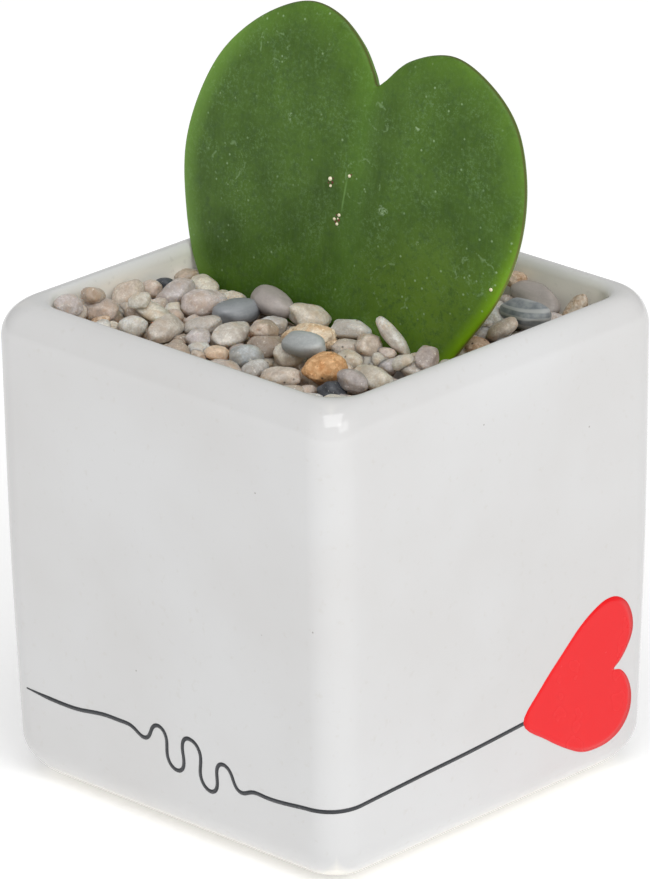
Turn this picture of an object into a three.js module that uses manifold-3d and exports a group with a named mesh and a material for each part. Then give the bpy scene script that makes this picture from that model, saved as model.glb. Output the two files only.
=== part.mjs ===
// A single heart-shaped hoya leaf in a square glazed pot, standing in soil under a top dressing of pebbles.
// Millimetres, +Z up. The origin is on the table, under the middle of the pot.
// The pot's decorated faces look along -Y and +X.

import * as THREE from 'three';
import { mergeVertices } from 'three/addons/utils/BufferGeometryUtils.js';
import Module from 'manifold-3d';

// Pot: widths are across the flats.
const POT_WIDTH = 76;
const POT_FOOT_WIDTH = 73;
const POT_HEIGHT = 81.7;
const POT_WALL = 5.35;
const POT_BELLY = 0.4;
const OUTER_CORNER = 6;
const INNER_CORNER = 6;
const FOOT_ROUNDING = 8.4;
const RIM_OUTER = { across: 4.1, down: 6 };
const RIM_INNER = { across: 1.25, down: 1.8 };
// The cavity lies a little off the pot's middle, so the walls at +X and +Y are the thinner ones.
const CAVITY_SHIFT = { x: 0.64, y: 0.6 };
const FLOOR_TOP = 7;
const FLOOR_ROUNDING = 6;
const CAVITY_TAPER = 1.5;
const FOOT_RING_WIDTH = 4;
const FOOT_RECESS = 1.2;
const FOOT_CHAMFER = 1;

// Filling: soil below, pebbles above, each clear of the wall by one fine gap.
const GAP = 0.35;
const SOIL_TOP = 70;
const BED_GROUND = 76.1;
const BED_HEAP = 1.3;
const BED_HOLLOW = 0.9;
const HEAP_FRONT = -12;
const HEAP_BACK = 4;
const STONE_COVER = 2.2;

// Leaf: x runs across the blade and s up along it, from the point where it leaves the pebbles.
const LEAF_FOOT = new THREE.Vector3(0, 3.2, 77);
const LEAF_LEAN = THREE.MathUtils.degToRad(8);
const LEAF_TURN = THREE.MathUtils.degToRad(3);
const LEAF_HALF_THICKNESS = 1.55;
const LEAF_EDGE_HALF = 0.4;
const LEAF_HEART = { x: 1, s: 15 };
const LEAF_MARGIN_CURL = 0.8;
const LEAF_FULLNESS = 6;
const LEAF_OUTLINE = [
  [1.2, -19.5], [9, -16], [17, -9.3], [24.9, 0.6], [31.2, 10], [34.4, 19.5], [34.4, 29.5], [31.4, 37.8],
  [25.3, 43.2], [17.9, 45.8], [9.5, 43.3], [4.9, 39.2], [3.4, 38.2], [2.4, 40], [-0.3, 44], [-5.5, 47.8],
  [-11.5, 48.8], [-20.1, 45.3], [-28.3, 38.2], [-32.9, 29.9], [-35.1, 20.5], [-33.9, 10.3], [-31.3, 2.2],
  [-27, -3.8], [-19.5, -10], [-9, -16.5],
];
const STALK_RADIUS = 2;
const STALK_TAPER = 0.4;
const STALK_ROOT = 5;
const STALK_END = { x: 1, s: -34 };

// Pebbles: a stone's width and flatness as shares of its length, and how it settles.
const PEBBLE_WIDTH_SHARE = [0.66, 0.88];
const PEBBLE_FLAT_SHARE = [0.66, 0.88];
const PEBBLE_SINK = 0.6;
const PEBBLE_MAX_SLOPE = 0.45;
const PEBBLE_FOOTING = 0.7;
const PEBBLE_AREA = [-30, 30];
const PEBBLE_TRIES = 16;
const PEBBLE_SEED = 4711;
const LEVEL_TOLERANCE = 0.4;
const EGG_SWELL = 1.05;
const CHOSEN_EGG = { sides: 8, bands: 4 };
// Drawn stones: the large ones first, then small ones for the gaps.
const DRAWN_STONES = [
  { draws: 76, halfLength: [2.5, 4], egg: { sides: 7, bands: 4 } },
  { draws: 80, halfLength: [1.6, 2.3], egg: { sides: 6, bands: 3 } },
];
// No drawn stone reaches into this strip of bed along the foot of the leaf.
const LEAF_STRIP = { front: 1, back: 5.6 };

// The stones that stand out, in the order in which they settle: place in the bed, length, width, turn in
// degrees and, for a stone that leans on its neighbour, the slope of its length.
const CHOSEN_STONES = [
  { name: 'beige_big', x: -27.8, y: -22.3, long: 6.9, wide: 5.6, turn: -13 },
  { name: 'pink_back', x: -30.8, y: 0, long: 4.3, wide: 2.9, turn: 90, lean: 0.15 },
  { name: 'tan_under', x: -22.7, y: -19, long: 4.9, wide: 3.7, turn: 0, lean: 0.15 },
  { name: 'cream_chip', x: -22.4, y: -25.1, long: 3.2, wide: 2.6, turn: 44 },
  { name: 'beige_corner', x: -29.3, y: -26.9, long: 4.8, wide: 4.1, turn: 11 },
  { name: 'mauve_corner', x: -28.5, y: -28.6, long: 4.5, wide: 3.7, turn: 60, lean: -0.15 },
  { name: 'tan_wall', x: -28.1, y: -23.4, long: 3.9, wide: 3.2, turn: 80, lean: -0.3 },
  { name: 'cream_long', x: -19.2, y: -18.7, long: 8.5, wide: 3.8, turn: 15 },
  { name: 'cream_back', x: -25.1, y: -1.8, long: 7, wide: 4.3, turn: -19 },
  { name: 'cream_nub', x: -20.9, y: -20.4, long: 3.6, wide: 2.9, turn: 33 },
  { name: 'white_bright', x: -18.9, y: -23.9, long: 5.1, wide: 4.3, turn: -28, lean: 0.3 },
  { name: 'slate_chip', x: -30.5, y: -5.2, long: 3.1, wide: 2.4, turn: 30 },
  { name: 'cream_tucked', x: -17.5, y: -2.5, long: 3.8, wide: 3.1, turn: 40, lean: -0.3 },
  { name: 'white_left', x: -17.7, y: -9.2, long: 7.5, wide: 5.1, turn: 75 },
  { name: 'pink_wall', x: -29.3, y: -10, long: 4.3, wide: 3.6, turn: 60, lean: -0.15 },
  { name: 'beige_front', x: -7.6, y: -25.5, long: 4.8, wide: 3.8, turn: -13, lean: -0.15 },
  { name: 'mauve_speckled', x: -24.4, y: -8.6, long: 6.8, wide: 4.3, turn: 73, lean: 0.3 },
  { name: 'slate_blue', x: -12, y: -7.7, long: 8.1, wide: 5.5, turn: 80 },
  { name: 'beige_tall', x: -9, y: -19.2, long: 5.1, wide: 3.9, turn: 120 },
  { name: 'grey_beige', x: -12, y: -15.3, long: 6.2, wide: 3.6, turn: 62, lean: 0.15 },
  { name: 'grey_small', x: -5, y: -6.6, long: 4.4, wide: 3.6, turn: 44 },
  { name: 'lilac', x: -9.5, y: -2.2, long: 9.7, wide: 5.9, turn: -17 },
  { name: 'beige_upright', x: -14.4, y: -21.3, long: 7.8, wide: 4.6, turn: 105 },
  { name: 'white_middle', x: -5.7, y: -15.1, long: 7.9, wide: 5.1, turn: 98 },
  { name: 'tan_orange', x: -3, y: -21.2, long: 4.3, wide: 3.4, turn: 19 },
  { name: 'beige_left', x: -29.4, y: -14.7, long: 6.3, wide: 4.6, turn: 98, lean: 0.3 },
  { name: 'mottled', x: 1, y: -14.3, long: 5.8, wide: 4.8, turn: 44 },
  { name: 'pale_middle', x: -1.5, y: -12.2, long: 5.8, wide: 3.9, turn: 108, lean: -0.3 },
  { name: 'slate_pale', x: 1.8, y: -19.5, long: 5.3, wide: 4.3, turn: 44 },
  { name: 'cream_round', x: 6.1, y: -14.4, long: 4.9, wide: 4.5, turn: 37 },
  { name: 'white_oval', x: 5.1, y: 0.6, long: 6.7, wide: 3.8, turn: 28 },
  { name: 'granite_cream', x: 4.5, y: -8.5, long: 9.6, wide: 5.5, turn: 6, lean: 0.15 },
  { name: 'cream_large', x: -2.4, y: -1.1, long: 6.7, wide: 5, turn: 30, lean: -0.3 },
  { name: 'white_chip', x: 6.2, y: -22.2, long: 5.1, wide: 3.6, turn: 100 },
  { name: 'grey_blue', x: 9.8, y: -14.6, long: 8.3, wide: 5, turn: -4, lean: 0.15 },
  { name: 'beige_clear', x: 11.9, y: -22.4, long: 6.2, wide: 4.4, turn: 40 },
  { name: 'beige_wedge', x: 10, y: -5.7, long: 4.6, wide: 3.8, turn: 50 },
  { name: 'basalt', x: 21.5, y: -20.6, long: 4.8, wide: 3.8, turn: 44 },
  { name: 'orange_granite', x: 16.4, y: -17.2, long: 7.4, wide: 6, turn: 90 },
  { name: 'pink_small', x: 15.7, y: -2.6, long: 3.2, wide: 2.7, turn: 20 },
  { name: 'beige_oval', x: 13.2, y: -3.6, long: 5.3, wide: 3.8, turn: 108 },
  { name: 'beige_right', x: 23.8, y: -18.7, long: 4.8, wide: 4.1, turn: 60 },
  { name: 'pale_right', x: 25.5, y: -6.2, long: 4.7, wide: 3.9, turn: 44, lean: -0.3 },
  { name: 'tall_white', x: 15.5, y: -0.7, long: 7.7, wide: 3.7, turn: 224, lean: 1.3 },
  { name: 'lilac_white', x: 26.4, y: -4.6, long: 5, wide: 3.6, turn: 110, lean: 0.35 },
  { name: 'yellow_white', x: 23.1, y: -13.3, long: 7.7, wide: 4.9, turn: -9 },
  { name: 'salmon', x: 24.4, y: 9.1, long: 4.1, wide: 3.3, turn: 44, lean: -0.3 },
  { name: 'mauve_chip', x: 21.3, y: 14.1, long: 3.2, wide: 2.7, turn: 52 },
  { name: 'beige_leaning', x: 24.2, y: 14.9, long: 5.3, wide: 3.2, turn: 48, lean: 0.7 },
  { name: 'white_leaning', x: 18.3, y: 19.5, long: 5.8, wide: 4, turn: -36 },
  { name: 'banded', x: 23.3, y: 21.2, long: 8.8, wide: 5.2, turn: 0 },
  { name: 'mauve_big', x: 17.9, y: 29.9, long: 11.5, wide: 5.3, turn: -16 },
  { name: 'cream_wall', x: 26.3, y: 29.4, long: 6.2, wide: 3.9, turn: 44, lean: 1.2 },
  { name: 'pale_small', x: 24.1, y: -7.6, long: 3.7, wide: 2.7, turn: 20 },
  { name: 'brown_gap', x: -11.2, y: -20.8, long: 2.9, wide: 2.5, turn: 40 },
  { name: 'grey_foot', x: 27, y: -0.2, long: 3.4, wide: 2.7, turn: 40 },
  { name: 'orange_chip', x: 12, y: 31.2, long: 3.9, wide: 3.1, turn: 30, lean: 0 },
  { name: 'small_beige', x: -4.7, y: -23.7, long: 2.7, wide: 2.2, turn: 20, lean: -0.3 },
  { name: 'lilac_small', x: 21.1, y: -6, long: 4.3, wide: 3.4, turn: 44 },
];

const GLAZE = new THREE.MeshStandardMaterial({ color: 0xe8e7e3, roughness: 0.28, metalness: 0 });
const SOIL_BROWN = new THREE.MeshStandardMaterial({ color: 0x33261c, roughness: 0.95, metalness: 0 });
const QUARTZ = new THREE.MeshStandardMaterial({ color: 0xb9afa2, roughness: 0.5, metalness: 0 });
const LEAF_GREEN = new THREE.MeshStandardMaterial({ color: 0x46702a, roughness: 0.45, metalness: 0 });

const wasm = await Module();
wasm.setup();

// Welds a geometry's seams and poles, so that it is one closed skin.
function weld(geometry) {
  const bare = geometry.clone();
  bare.deleteAttribute('normal');
  bare.deleteAttribute('uv');
  const merged = mergeVertices(bare, 1e-4);
  const corners = merged.index.array;
  const kept = [];
  for (let i = 0; i < corners.length; i += 3) {
    const [a, b, c] = [corners[i], corners[i + 1], corners[i + 2]];
    if (a !== b && b !== c && c !== a) {
      kept.push(a, b, c);
    }
  }
  merged.setIndex(kept);
  return merged;
}

function toSolid(geometry) {
  const skin = weld(geometry);
  return new wasm.Manifold(new wasm.Mesh({
    numProp: 3,
    vertProperties: new Float32Array(skin.attributes.position.array),
    triVerts: new Uint32Array(skin.index.array),
  }));
}

function toGeometry(solid) {
  const mesh = solid.getMesh();
  const geometry = new THREE.BufferGeometry();
  const points = new Float32Array(mesh.numVert * 3);
  for (let v = 0; v < mesh.numVert; v += 1) {
    points.set(mesh.vertProperties.subarray(v * mesh.numProp, v * mesh.numProp + 3), v * 3);
  }
  geometry.setAttribute('position', new THREE.BufferAttribute(points, 3));
  geometry.setIndex(new THREE.BufferAttribute(new Uint32Array(mesh.triVerts), 1));
  geometry.computeVertexNormals();
  return geometry;
}

// A quarter of an ellipse from one angle to another, as [across, up] steps about a centre.
function quarter(centre, size, from, to, steps) {
  const points = [];
  for (let i = 0; i <= steps; i += 1) {
    const angle = THREE.MathUtils.degToRad(from + ((to - from) * i) / steps);
    points.push([centre[0] + size[0] * Math.cos(angle), centre[1] + size[1] * Math.sin(angle)]);
  }
  return points;
}

// Square rings: a lathe's round rings pushed out to a square with soft corners. A row of the profile is its
// half width, its height and the share of the cavity's shift that it follows.
const CORNER_STEPS = 6;
const SIDE_STEPS = 4;
const RING_STEPS = 4 * (CORNER_STEPS + SIDE_STEPS);

function squareRingPoint(step, half, corner) {
  const side = Math.floor(step / (CORNER_STEPS + SIDE_STEPS));
  const local = step % (CORNER_STEPS + SIDE_STEPS);
  const straight = half - corner;
  const halfSide = SIDE_STEPS / 2;
  let along;
  let out;
  if (local <= halfSide) {
    along = (straight * local) / halfSide;
    out = half;
  } else if (local <= halfSide + CORNER_STEPS) {
    const turn = ((local - halfSide) / CORNER_STEPS) * (Math.PI / 2);
    along = straight + corner * Math.sin(turn);
    out = straight + corner * Math.cos(turn);
  } else {
    along = half;
    out = (straight * (CORNER_STEPS + SIDE_STEPS - local)) / halfSide;
  }
  const turns = [[along, -out], [out, along], [-along, out], [-out, -along]];
  return turns[side];
}

function squareLathe(profile, cornerOf) {
  const lathe = new THREE.LatheGeometry(profile.map(([half, z]) => new THREE.Vector2(half, z)), RING_STEPS);
  const position = lathe.attributes.position;
  for (let step = 0; step <= RING_STEPS; step += 1) {
    profile.forEach(([half, z, follow = 0], row) => {
      const [x, y] = squareRingPoint(step % RING_STEPS, half, Math.min(cornerOf(half, row), half));
      const [shiftX, shiftY] = [CAVITY_SHIFT.x * follow, CAVITY_SHIFT.y * follow];
      position.setXYZ(step * profile.length + row, x + shiftX, y + shiftY, z);
    });
  }
  return lathe;
}

function outerHalf(z) {
  const share = z / POT_HEIGHT;
  const width = POT_FOOT_WIDTH + (POT_WIDTH - POT_FOOT_WIDTH) * share;
  return width / 2 + POT_BELLY * Math.sin(Math.PI * share);
}

function innerHalf(z) {
  const depth = (POT_HEIGHT - z) / (POT_HEIGHT - FLOOR_TOP);
  return POT_WIDTH / 2 - POT_WALL - CAVITY_TAPER * depth;
}

function makePot() {
  const footHalf = POT_FOOT_WIDTH / 2 - FOOT_ROUNDING;
  const ringInside = footHalf - FOOT_RING_WIDTH;
  const rimBase = POT_HEIGHT - RIM_OUTER.down;
  const rimPeak = POT_WIDTH / 2 - RIM_OUTER.across;
  const wallSteps = [0.25, 0.5, 0.75].map((share) => {
    const z = FOOT_ROUNDING + (rimBase - FOOT_ROUNDING) * share;
    return [outerHalf(z), z];
  });
  const rim = quarter([rimPeak, rimBase], [RIM_OUTER.across, RIM_OUTER.down], 0, 90, 5);
  const outside = [
    [0, FOOT_RECESS],
    [ringInside - FOOT_CHAMFER, FOOT_RECESS],
    [ringInside, 0],
    ...quarter([footHalf, FOOT_ROUNDING], [outerHalf(FOOT_ROUNDING) - footHalf, FOOT_ROUNDING], -90, 0, 5),
    ...wallSteps,
    ...rim.map(([half, z]) => [half, z, 1 - (half - rimPeak) / RIM_OUTER.across]),
  ];
  const cavityFloor = innerHalf(FLOOR_TOP) - FLOOR_ROUNDING;
  const wallEnd = FLOOR_TOP + FLOOR_ROUNDING;
  const lip = POT_HEIGHT - RIM_INNER.down;
  const inside = [
    ...quarter([rimPeak, lip], [-RIM_INNER.across, RIM_INNER.down], 90, 0, 3).slice(1),
    ...quarter([cavityFloor, wallEnd], [innerHalf(wallEnd) - cavityFloor, FLOOR_ROUNDING], 0, -90, 4),
    [0, FLOOR_TOP],
  ].map(([half, z]) => [half, z, 1]);
  const cornerOf = (half, row) => {
    if (row >= outside.length) {
      return INNER_CORNER * (half / (POT_WIDTH / 2 - POT_WALL));
    }
    return OUTER_CORNER * (half / (POT_WIDTH / 2));
  };
  return toSolid(squareLathe([...outside, ...inside], cornerOf));
}

// Ground under the loose stones: heaped towards the left corner, lower at the back on the right.
function groundLevel(x, y) {
  const half = POT_WIDTH / 2 - POT_WALL;
  const forward = THREE.MathUtils.clamp((HEAP_BACK - y) / (HEAP_BACK - HEAP_FRONT), 0, 1);
  const heap = Math.max(0, -x / half) * forward;
  const hollow = Math.max(0, x / half) * Math.max(0, y / half);
  return BED_GROUND + BED_HEAP * heap - BED_HOLLOW * hollow;
}

// The cavity's shape, drawn in by the fine gap, from a low level up to a top surface.
function fillingBlock(low, high, topOf) {
  const half = innerHalf(high) - GAP;
  const lowHalf = innerHalf(low) - GAP;
  const foot = low < FLOOR_TOP + FLOOR_ROUNDING
    ? quarter([lowHalf - FLOOR_ROUNDING, low + FLOOR_ROUNDING], [FLOOR_ROUNDING, FLOOR_ROUNDING], -90, 0, 3)
    : [[lowHalf, low]];
  const top = [1, 0.75, 0.5, 0.25, 0].map((share) => [half * share, high]);
  const profile = [[0, low], ...foot, ...top].map(([across, z]) => [across, z, 1]);
  const block = squareLathe(profile, (across) => (INNER_CORNER * across) / (POT_WIDTH / 2 - POT_WALL));
  const position = block.attributes.position;
  for (let v = 0; v < position.count; v += 1) {
    if (position.getZ(v) === Math.fround(high)) {
      position.setZ(v, topOf(position.getX(v), position.getY(v)));
    }
  }
  return toSolid(block);
}

// Half the blade's thickness at a share of the way from its middle to its edge.
function bladeHalfThickness(share) {
  const dome = Math.sqrt(Math.max(0, 1 - share ** LEAF_FULLNESS));
  return LEAF_EDGE_HALF + (LEAF_HALF_THICKNESS - LEAF_EDGE_HALF) * dome;
}

// How far the blade's middle surface bends back towards its margin.
function bladeCurl(share) {
  return LEAF_MARGIN_CURL * share ** 2;
}

const BLADE_RINGS = [1, 0.985, 0.95, 0.88, 0.72, 0.5, 0.25];
const OUTLINE_STEPS = 84;

// The leaf's solid, or with grow the room that it needs in the soil and the pebbles.
function makeLeaf(grow) {
  const outline = new THREE.CatmullRomCurve3(
    LEAF_OUTLINE.map(([x, s]) => new THREE.Vector3(x, s, 0)),
    true,
    'centripetal',
  ).getPoints(OUTLINE_STEPS).slice(0, -1);
  const points = [];
  const faces = [];
  const count = outline.length;
  const addRing = (share, side) => {
    outline.forEach((point, i) => {
      const before = outline[(i + count - 1) % count];
      const after = outline[(i + 1) % count];
      const normal = new THREE.Vector2(after.y - before.y, before.x - after.x).normalize();
      const x = LEAF_HEART.x + (point.x + normal.x * grow - LEAF_HEART.x) * share;
      const s = LEAF_HEART.s + (point.y + normal.y * grow - LEAF_HEART.s) * share;
      const forward = side * (bladeHalfThickness(share) + grow) - bladeCurl(share);
      points.push([x, s, forward]);
    });
  };
  BLADE_RINGS.forEach((share) => addRing(share, 1));
  BLADE_RINGS.forEach((share) => addRing(share, -1));
  const front = points.length;
  points.push([LEAF_HEART.x, LEAF_HEART.s, bladeHalfThickness(0) + grow]);
  points.push([LEAF_HEART.x, LEAF_HEART.s, -bladeHalfThickness(0) - grow]);
  const rings = BLADE_RINGS.length;
  const at = (ring, i) => ring * count + (i % count);
  for (let i = 0; i < count; i += 1) {
    for (let ring = 0; ring < rings - 1; ring += 1) {
      faces.push([at(ring, i), at(ring, i + 1), at(ring + 1, i + 1)]);
      faces.push([at(ring, i), at(ring + 1, i + 1), at(ring + 1, i)]);
      const back = ring + rings;
      faces.push([at(back, i), at(back + 1, i + 1), at(back, i + 1)]);
      faces.push([at(back, i), at(back + 1, i), at(back + 1, i + 1)]);
    }
    faces.push([at(rings - 1, i), at(rings - 1, i + 1), front]);
    faces.push([at(2 * rings - 1, i + 1), at(2 * rings - 1, i), front + 1]);
    faces.push([at(0, i + 1), at(0, i), at(rings, i)]);
    faces.push([at(0, i + 1), at(rings, i), at(rings, i + 1)]);
  }
  const blade = new THREE.BufferGeometry();
  blade.setAttribute('position', new THREE.Float32BufferAttribute(points.flatMap((p) => p), 3));
  blade.setIndex(faces.flatMap((face) => face));

  const [tipX, tipS] = LEAF_OUTLINE[0];
  const rootShare = 1 - STALK_ROOT / (LEAF_HEART.s - tipS);
  const stalkTop = new THREE.Vector3(tipX, tipS + STALK_ROOT, -bladeCurl(rootShare));
  const stalkFoot = new THREE.Vector3(STALK_END.x, STALK_END.s - grow, 0);
  const length = stalkTop.distanceTo(stalkFoot);
  const [topRadius, footRadius] = [STALK_RADIUS - STALK_TAPER + grow, STALK_RADIUS + grow];
  const stalk = new THREE.CylinderGeometry(topRadius, footRadius, length, 12, 2);
  stalk.applyQuaternion(new THREE.Quaternion().setFromUnitVectors(
    new THREE.Vector3(0, 1, 0),
    stalkTop.clone().sub(stalkFoot).normalize(),
  ));
  stalk.translate(...stalkTop.clone().add(stalkFoot).multiplyScalar(0.5).toArray());
  return toGeometry(toSolid(blade).add(toSolid(stalk)));
}

// Stands the flat leaf up on its foot: it leans back by the lean and is turned a little about the vertical.
function standLeaf(geometry) {
  const across = new THREE.Vector3(1, 0, 0);
  const up = new THREE.Vector3(0, Math.sin(LEAF_LEAN), Math.cos(LEAF_LEAN));
  const forward = new THREE.Vector3(0, -Math.cos(LEAF_LEAN), Math.sin(LEAF_LEAN));
  const stand = new THREE.Matrix4().makeRotationZ(LEAF_TURN);
  stand.multiply(new THREE.Matrix4().makeBasis(across, up, forward)).setPosition(LEAF_FOOT);
  return geometry.clone().applyMatrix4(stand);
}

// A steady stream of numbers between 0 and 1, the same on every run.
function seededDraws(seed) {
  let state = seed;
  return () => {
    state = (state * 16807) % 2147483647;
    return state / 2147483647;
  };
}

// The egg shape of a stone: its three half lengths along its own turned axes.
function stoneShape(size, turn, slopeX, slopeY) {
  const up = new THREE.Vector3(-slopeX, -slopeY, 1).normalize();
  const flat = new THREE.Vector3(Math.cos(turn), Math.sin(turn), 0);
  const along = flat.clone().addScaledVector(up, -flat.dot(up)).normalize();
  const across = new THREE.Vector3().crossVectors(up, along);
  const axes = [along, across, up];
  const sum = (i, j, power) => axes.reduce(
    (total, axis, k) => total + axis.getComponent(i) * axis.getComponent(j) * size[k] ** power,
    0,
  );
  return {
    axes,
    size,
    reach: [0, 1, 2].map((i) => Math.sqrt(sum(i, i, 2))),
    xx: sum(0, 0, -2),
    xy: sum(0, 1, -2),
    yy: sum(1, 1, -2),
    xz: sum(0, 2, -2),
    yz: sum(1, 2, -2),
    zz: sum(2, 2, -2),
  };
}

// Over a point beside a stone's middle: how far the stone's core lies above it, and the half height there.
function stoneColumn(shape, dx, dy) {
  const shift = -(shape.xz * dx + shape.yz * dy) / shape.zz;
  const rest = shape.xx * dx * dx + 2 * shape.xy * dx * dy + shape.yy * dy * dy - 1;
  const square = shift * shift - rest / shape.zz;
  return square > 0 ? [shift, Math.sqrt(square)] : null;
}

// The bed's surface while the stones settle, as heights on a grid of cells one millimetre wide.
const GRID_HALF = 32;
const bedHeights = Float64Array.from({ length: 4 * GRID_HALF * GRID_HALF }, (_, cell) => groundLevel(
  (cell % (2 * GRID_HALF)) + 0.5 - GRID_HALF,
  Math.floor(cell / (2 * GRID_HALF)) + 0.5 - GRID_HALF,
));

function heightAt(x, y) {
  const column = Math.min(2 * GRID_HALF - 1, Math.max(0, Math.floor(x + GRID_HALF)));
  const row = Math.min(2 * GRID_HALF - 1, Math.max(0, Math.floor(y + GRID_HALF)));
  return bedHeights[row * 2 * GRID_HALF + column];
}

function eachCellUnder(x, y, shape, visit) {
  const [reachX, reachY] = shape.reach;
  const firstColumn = Math.max(0, Math.ceil(x - reachX + GRID_HALF - 0.5));
  const lastColumn = Math.min(2 * GRID_HALF - 1, Math.floor(x + reachX + GRID_HALF - 0.5));
  const firstRow = Math.max(0, Math.ceil(y - reachY + GRID_HALF - 0.5));
  const lastRow = Math.min(2 * GRID_HALF - 1, Math.floor(y + reachY + GRID_HALF - 0.5));
  for (let row = firstRow; row <= lastRow; row += 1) {
    for (let column = firstColumn; column <= lastColumn; column += 1) {
      const dx = column + 0.5 - GRID_HALF - x;
      const dy = row + 0.5 - GRID_HALF - y;
      const span = stoneColumn(shape, dx, dy);
      if (span) {
        visit(row * 2 * GRID_HALF + column, span);
      }
    }
  }
}

// Lets a stone down on the bed: it tilts with the slope under its ends, or leans as told, and sinks in.
function settle(x, y, size, turn, lean) {
  const slopeIn = (angle, half) => {
    const step = PEBBLE_FOOTING * half;
    const [dx, dy] = [step * Math.cos(angle), step * Math.sin(angle)];
    const slope = (heightAt(x + dx, y + dy) - heightAt(x - dx, y - dy)) / (2 * step);
    return THREE.MathUtils.clamp(slope, -PEBBLE_MAX_SLOPE, PEBBLE_MAX_SLOPE);
  };
  const along = lean ?? slopeIn(turn, size[0]);
  const across = slopeIn(turn + Math.PI / 2, size[1]);
  const slopeX = along * Math.cos(turn) - across * Math.sin(turn);
  const slopeY = along * Math.sin(turn) + across * Math.cos(turn);
  const shape = stoneShape(size, turn, slopeX, slopeY);
  let z = -Infinity;
  eachCellUnder(x, y, shape, (cell, [shift, half]) => {
    z = Math.max(z, bedHeights[cell] - shift + half);
  });
  return { x, y, z: z - PEBBLE_SINK, shape };
}

function isClear(stone) {
  const [reachX, reachY] = stone.shape.reach;
  const wall = innerHalf(stone.z) - GAP;
  const [outX, outY] = [Math.abs(stone.x - CAVITY_SHIFT.x), Math.abs(stone.y - CAVITY_SHIFT.y)];
  if (outX + reachX > wall || outY + reachY > wall) {
    return false;
  }
  const corner = wall - INNER_CORNER;
  const past = Math.hypot(Math.max(0, outX - corner), Math.max(0, outY - corner));
  const inBend = outX > corner && outY > corner;
  if (inBend && past + Math.min(reachX, reachY) > INNER_CORNER) {
    return false;
  }
  const fromLeafLine = stone.y - stone.x * Math.tan(LEAF_TURN);
  return fromLeafLine + reachY < LEAF_STRIP.front || fromLeafLine - reachY > LEAF_STRIP.back;
}

function layDown(stone) {
  eachCellUnder(stone.x, stone.y, stone.shape, (cell, [shift, half]) => {
    bedHeights[cell] = Math.max(bedHeights[cell], stone.z + shift + half);
  });
}

// The chosen stones first, then drawn ones, each in the lowest of the places tried, up to the bed's level.
function layStones() {
  const draw = seededDraws(PEBBLE_SEED);
  const between = ([low, high]) => low + (high - low) * draw();
  const stones = [];
  const lay = (egg, stone) => {
    stones.push({ egg, ...stone });
    layDown(stone);
  };
  CHOSEN_STONES.forEach((chosen) => {
    const flat = between(PEBBLE_FLAT_SHARE);
    const size = [chosen.long / 2, chosen.wide / 2, (chosen.wide / 2) * flat];
    lay(CHOSEN_EGG, settle(chosen.x, chosen.y, size, THREE.MathUtils.degToRad(chosen.turn), chosen.lean));
  });
  DRAWN_STONES.forEach(({ draws, halfLength, egg }) => {
    for (let drawn = 0; drawn < draws; drawn += 1) {
      let best = null;
      let lowest = LEVEL_TOLERANCE;
      for (let tried = 0; tried < PEBBLE_TRIES; tried += 1) {
        const half = between(halfLength);
        const wide = half * between(PEBBLE_WIDTH_SHARE);
        const size = [half, wide, wide * between(PEBBLE_FLAT_SHARE)];
        const [x, y] = [between(PEBBLE_AREA) + CAVITY_SHIFT.x, between(PEBBLE_AREA) + CAVITY_SHIFT.y];
        const stone = settle(x, y, size, Math.PI * draw());
        const over = stone.z + stone.shape.reach[2] - groundLevel(x, y) - STONE_COVER;
        if (over < lowest && isClear(stone)) {
          best = stone;
          lowest = over;
        }
      }
      if (best) {
        lay(egg, best);
      }
    }
  });
  return stones;
}

function stoneSolid({ egg, x, y, z, shape }) {
  const ball = new THREE.SphereGeometry(1, egg.sides, egg.bands).rotateX(Math.PI / 2);
  const [along, across, up] = shape.axes.map(
    (axis, k) => axis.clone().multiplyScalar(shape.size[k] * EGG_SWELL),
  );
  ball.applyMatrix4(new THREE.Matrix4().makeBasis(along, across, up).setPosition(x, y, z));
  return toSolid(ball);
}

const pot = makePot();
const leaf = standLeaf(makeLeaf(0));
const leafRoom = toSolid(standLeaf(makeLeaf(GAP)));
const soil = fillingBlock(FLOOR_TOP + GAP, SOIL_TOP, () => SOIL_TOP).subtract(leafRoom);
const stones = layStones();
const bed = stones.reduce(
  (heap, stone) => heap.add(stoneSolid(stone)),
  fillingBlock(SOIL_TOP + GAP, BED_GROUND, groundLevel),
).subtract(leafRoom).intersect(fillingBlock(SOIL_TOP, POT_HEIGHT, () => POT_HEIGHT + 1));

const plant = new THREE.Group();

function addPart(name, geometry, material) {
  const mesh = new THREE.Mesh(geometry, material);
  mesh.name = name;
  plant.add(mesh);
}

addPart('pot', toGeometry(pot), GLAZE);
addPart('soil', toGeometry(soil), SOIL_BROWN);
addPart('pebbles', toGeometry(bed), QUARTZ);
addPart('leaf', leaf, LEAF_GREEN);

export default plant;
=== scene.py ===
# Potted hoya: one thick heart-shaped leaf in a square glazed pot, under a top dressing of pebbles.
# Shapes are drawn in millimetres and brought to metres when a piece is made.
import functools
import math

import bmesh
import bpy
from mathutils import Matrix, Vector, geometry, kdtree, noise


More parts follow.
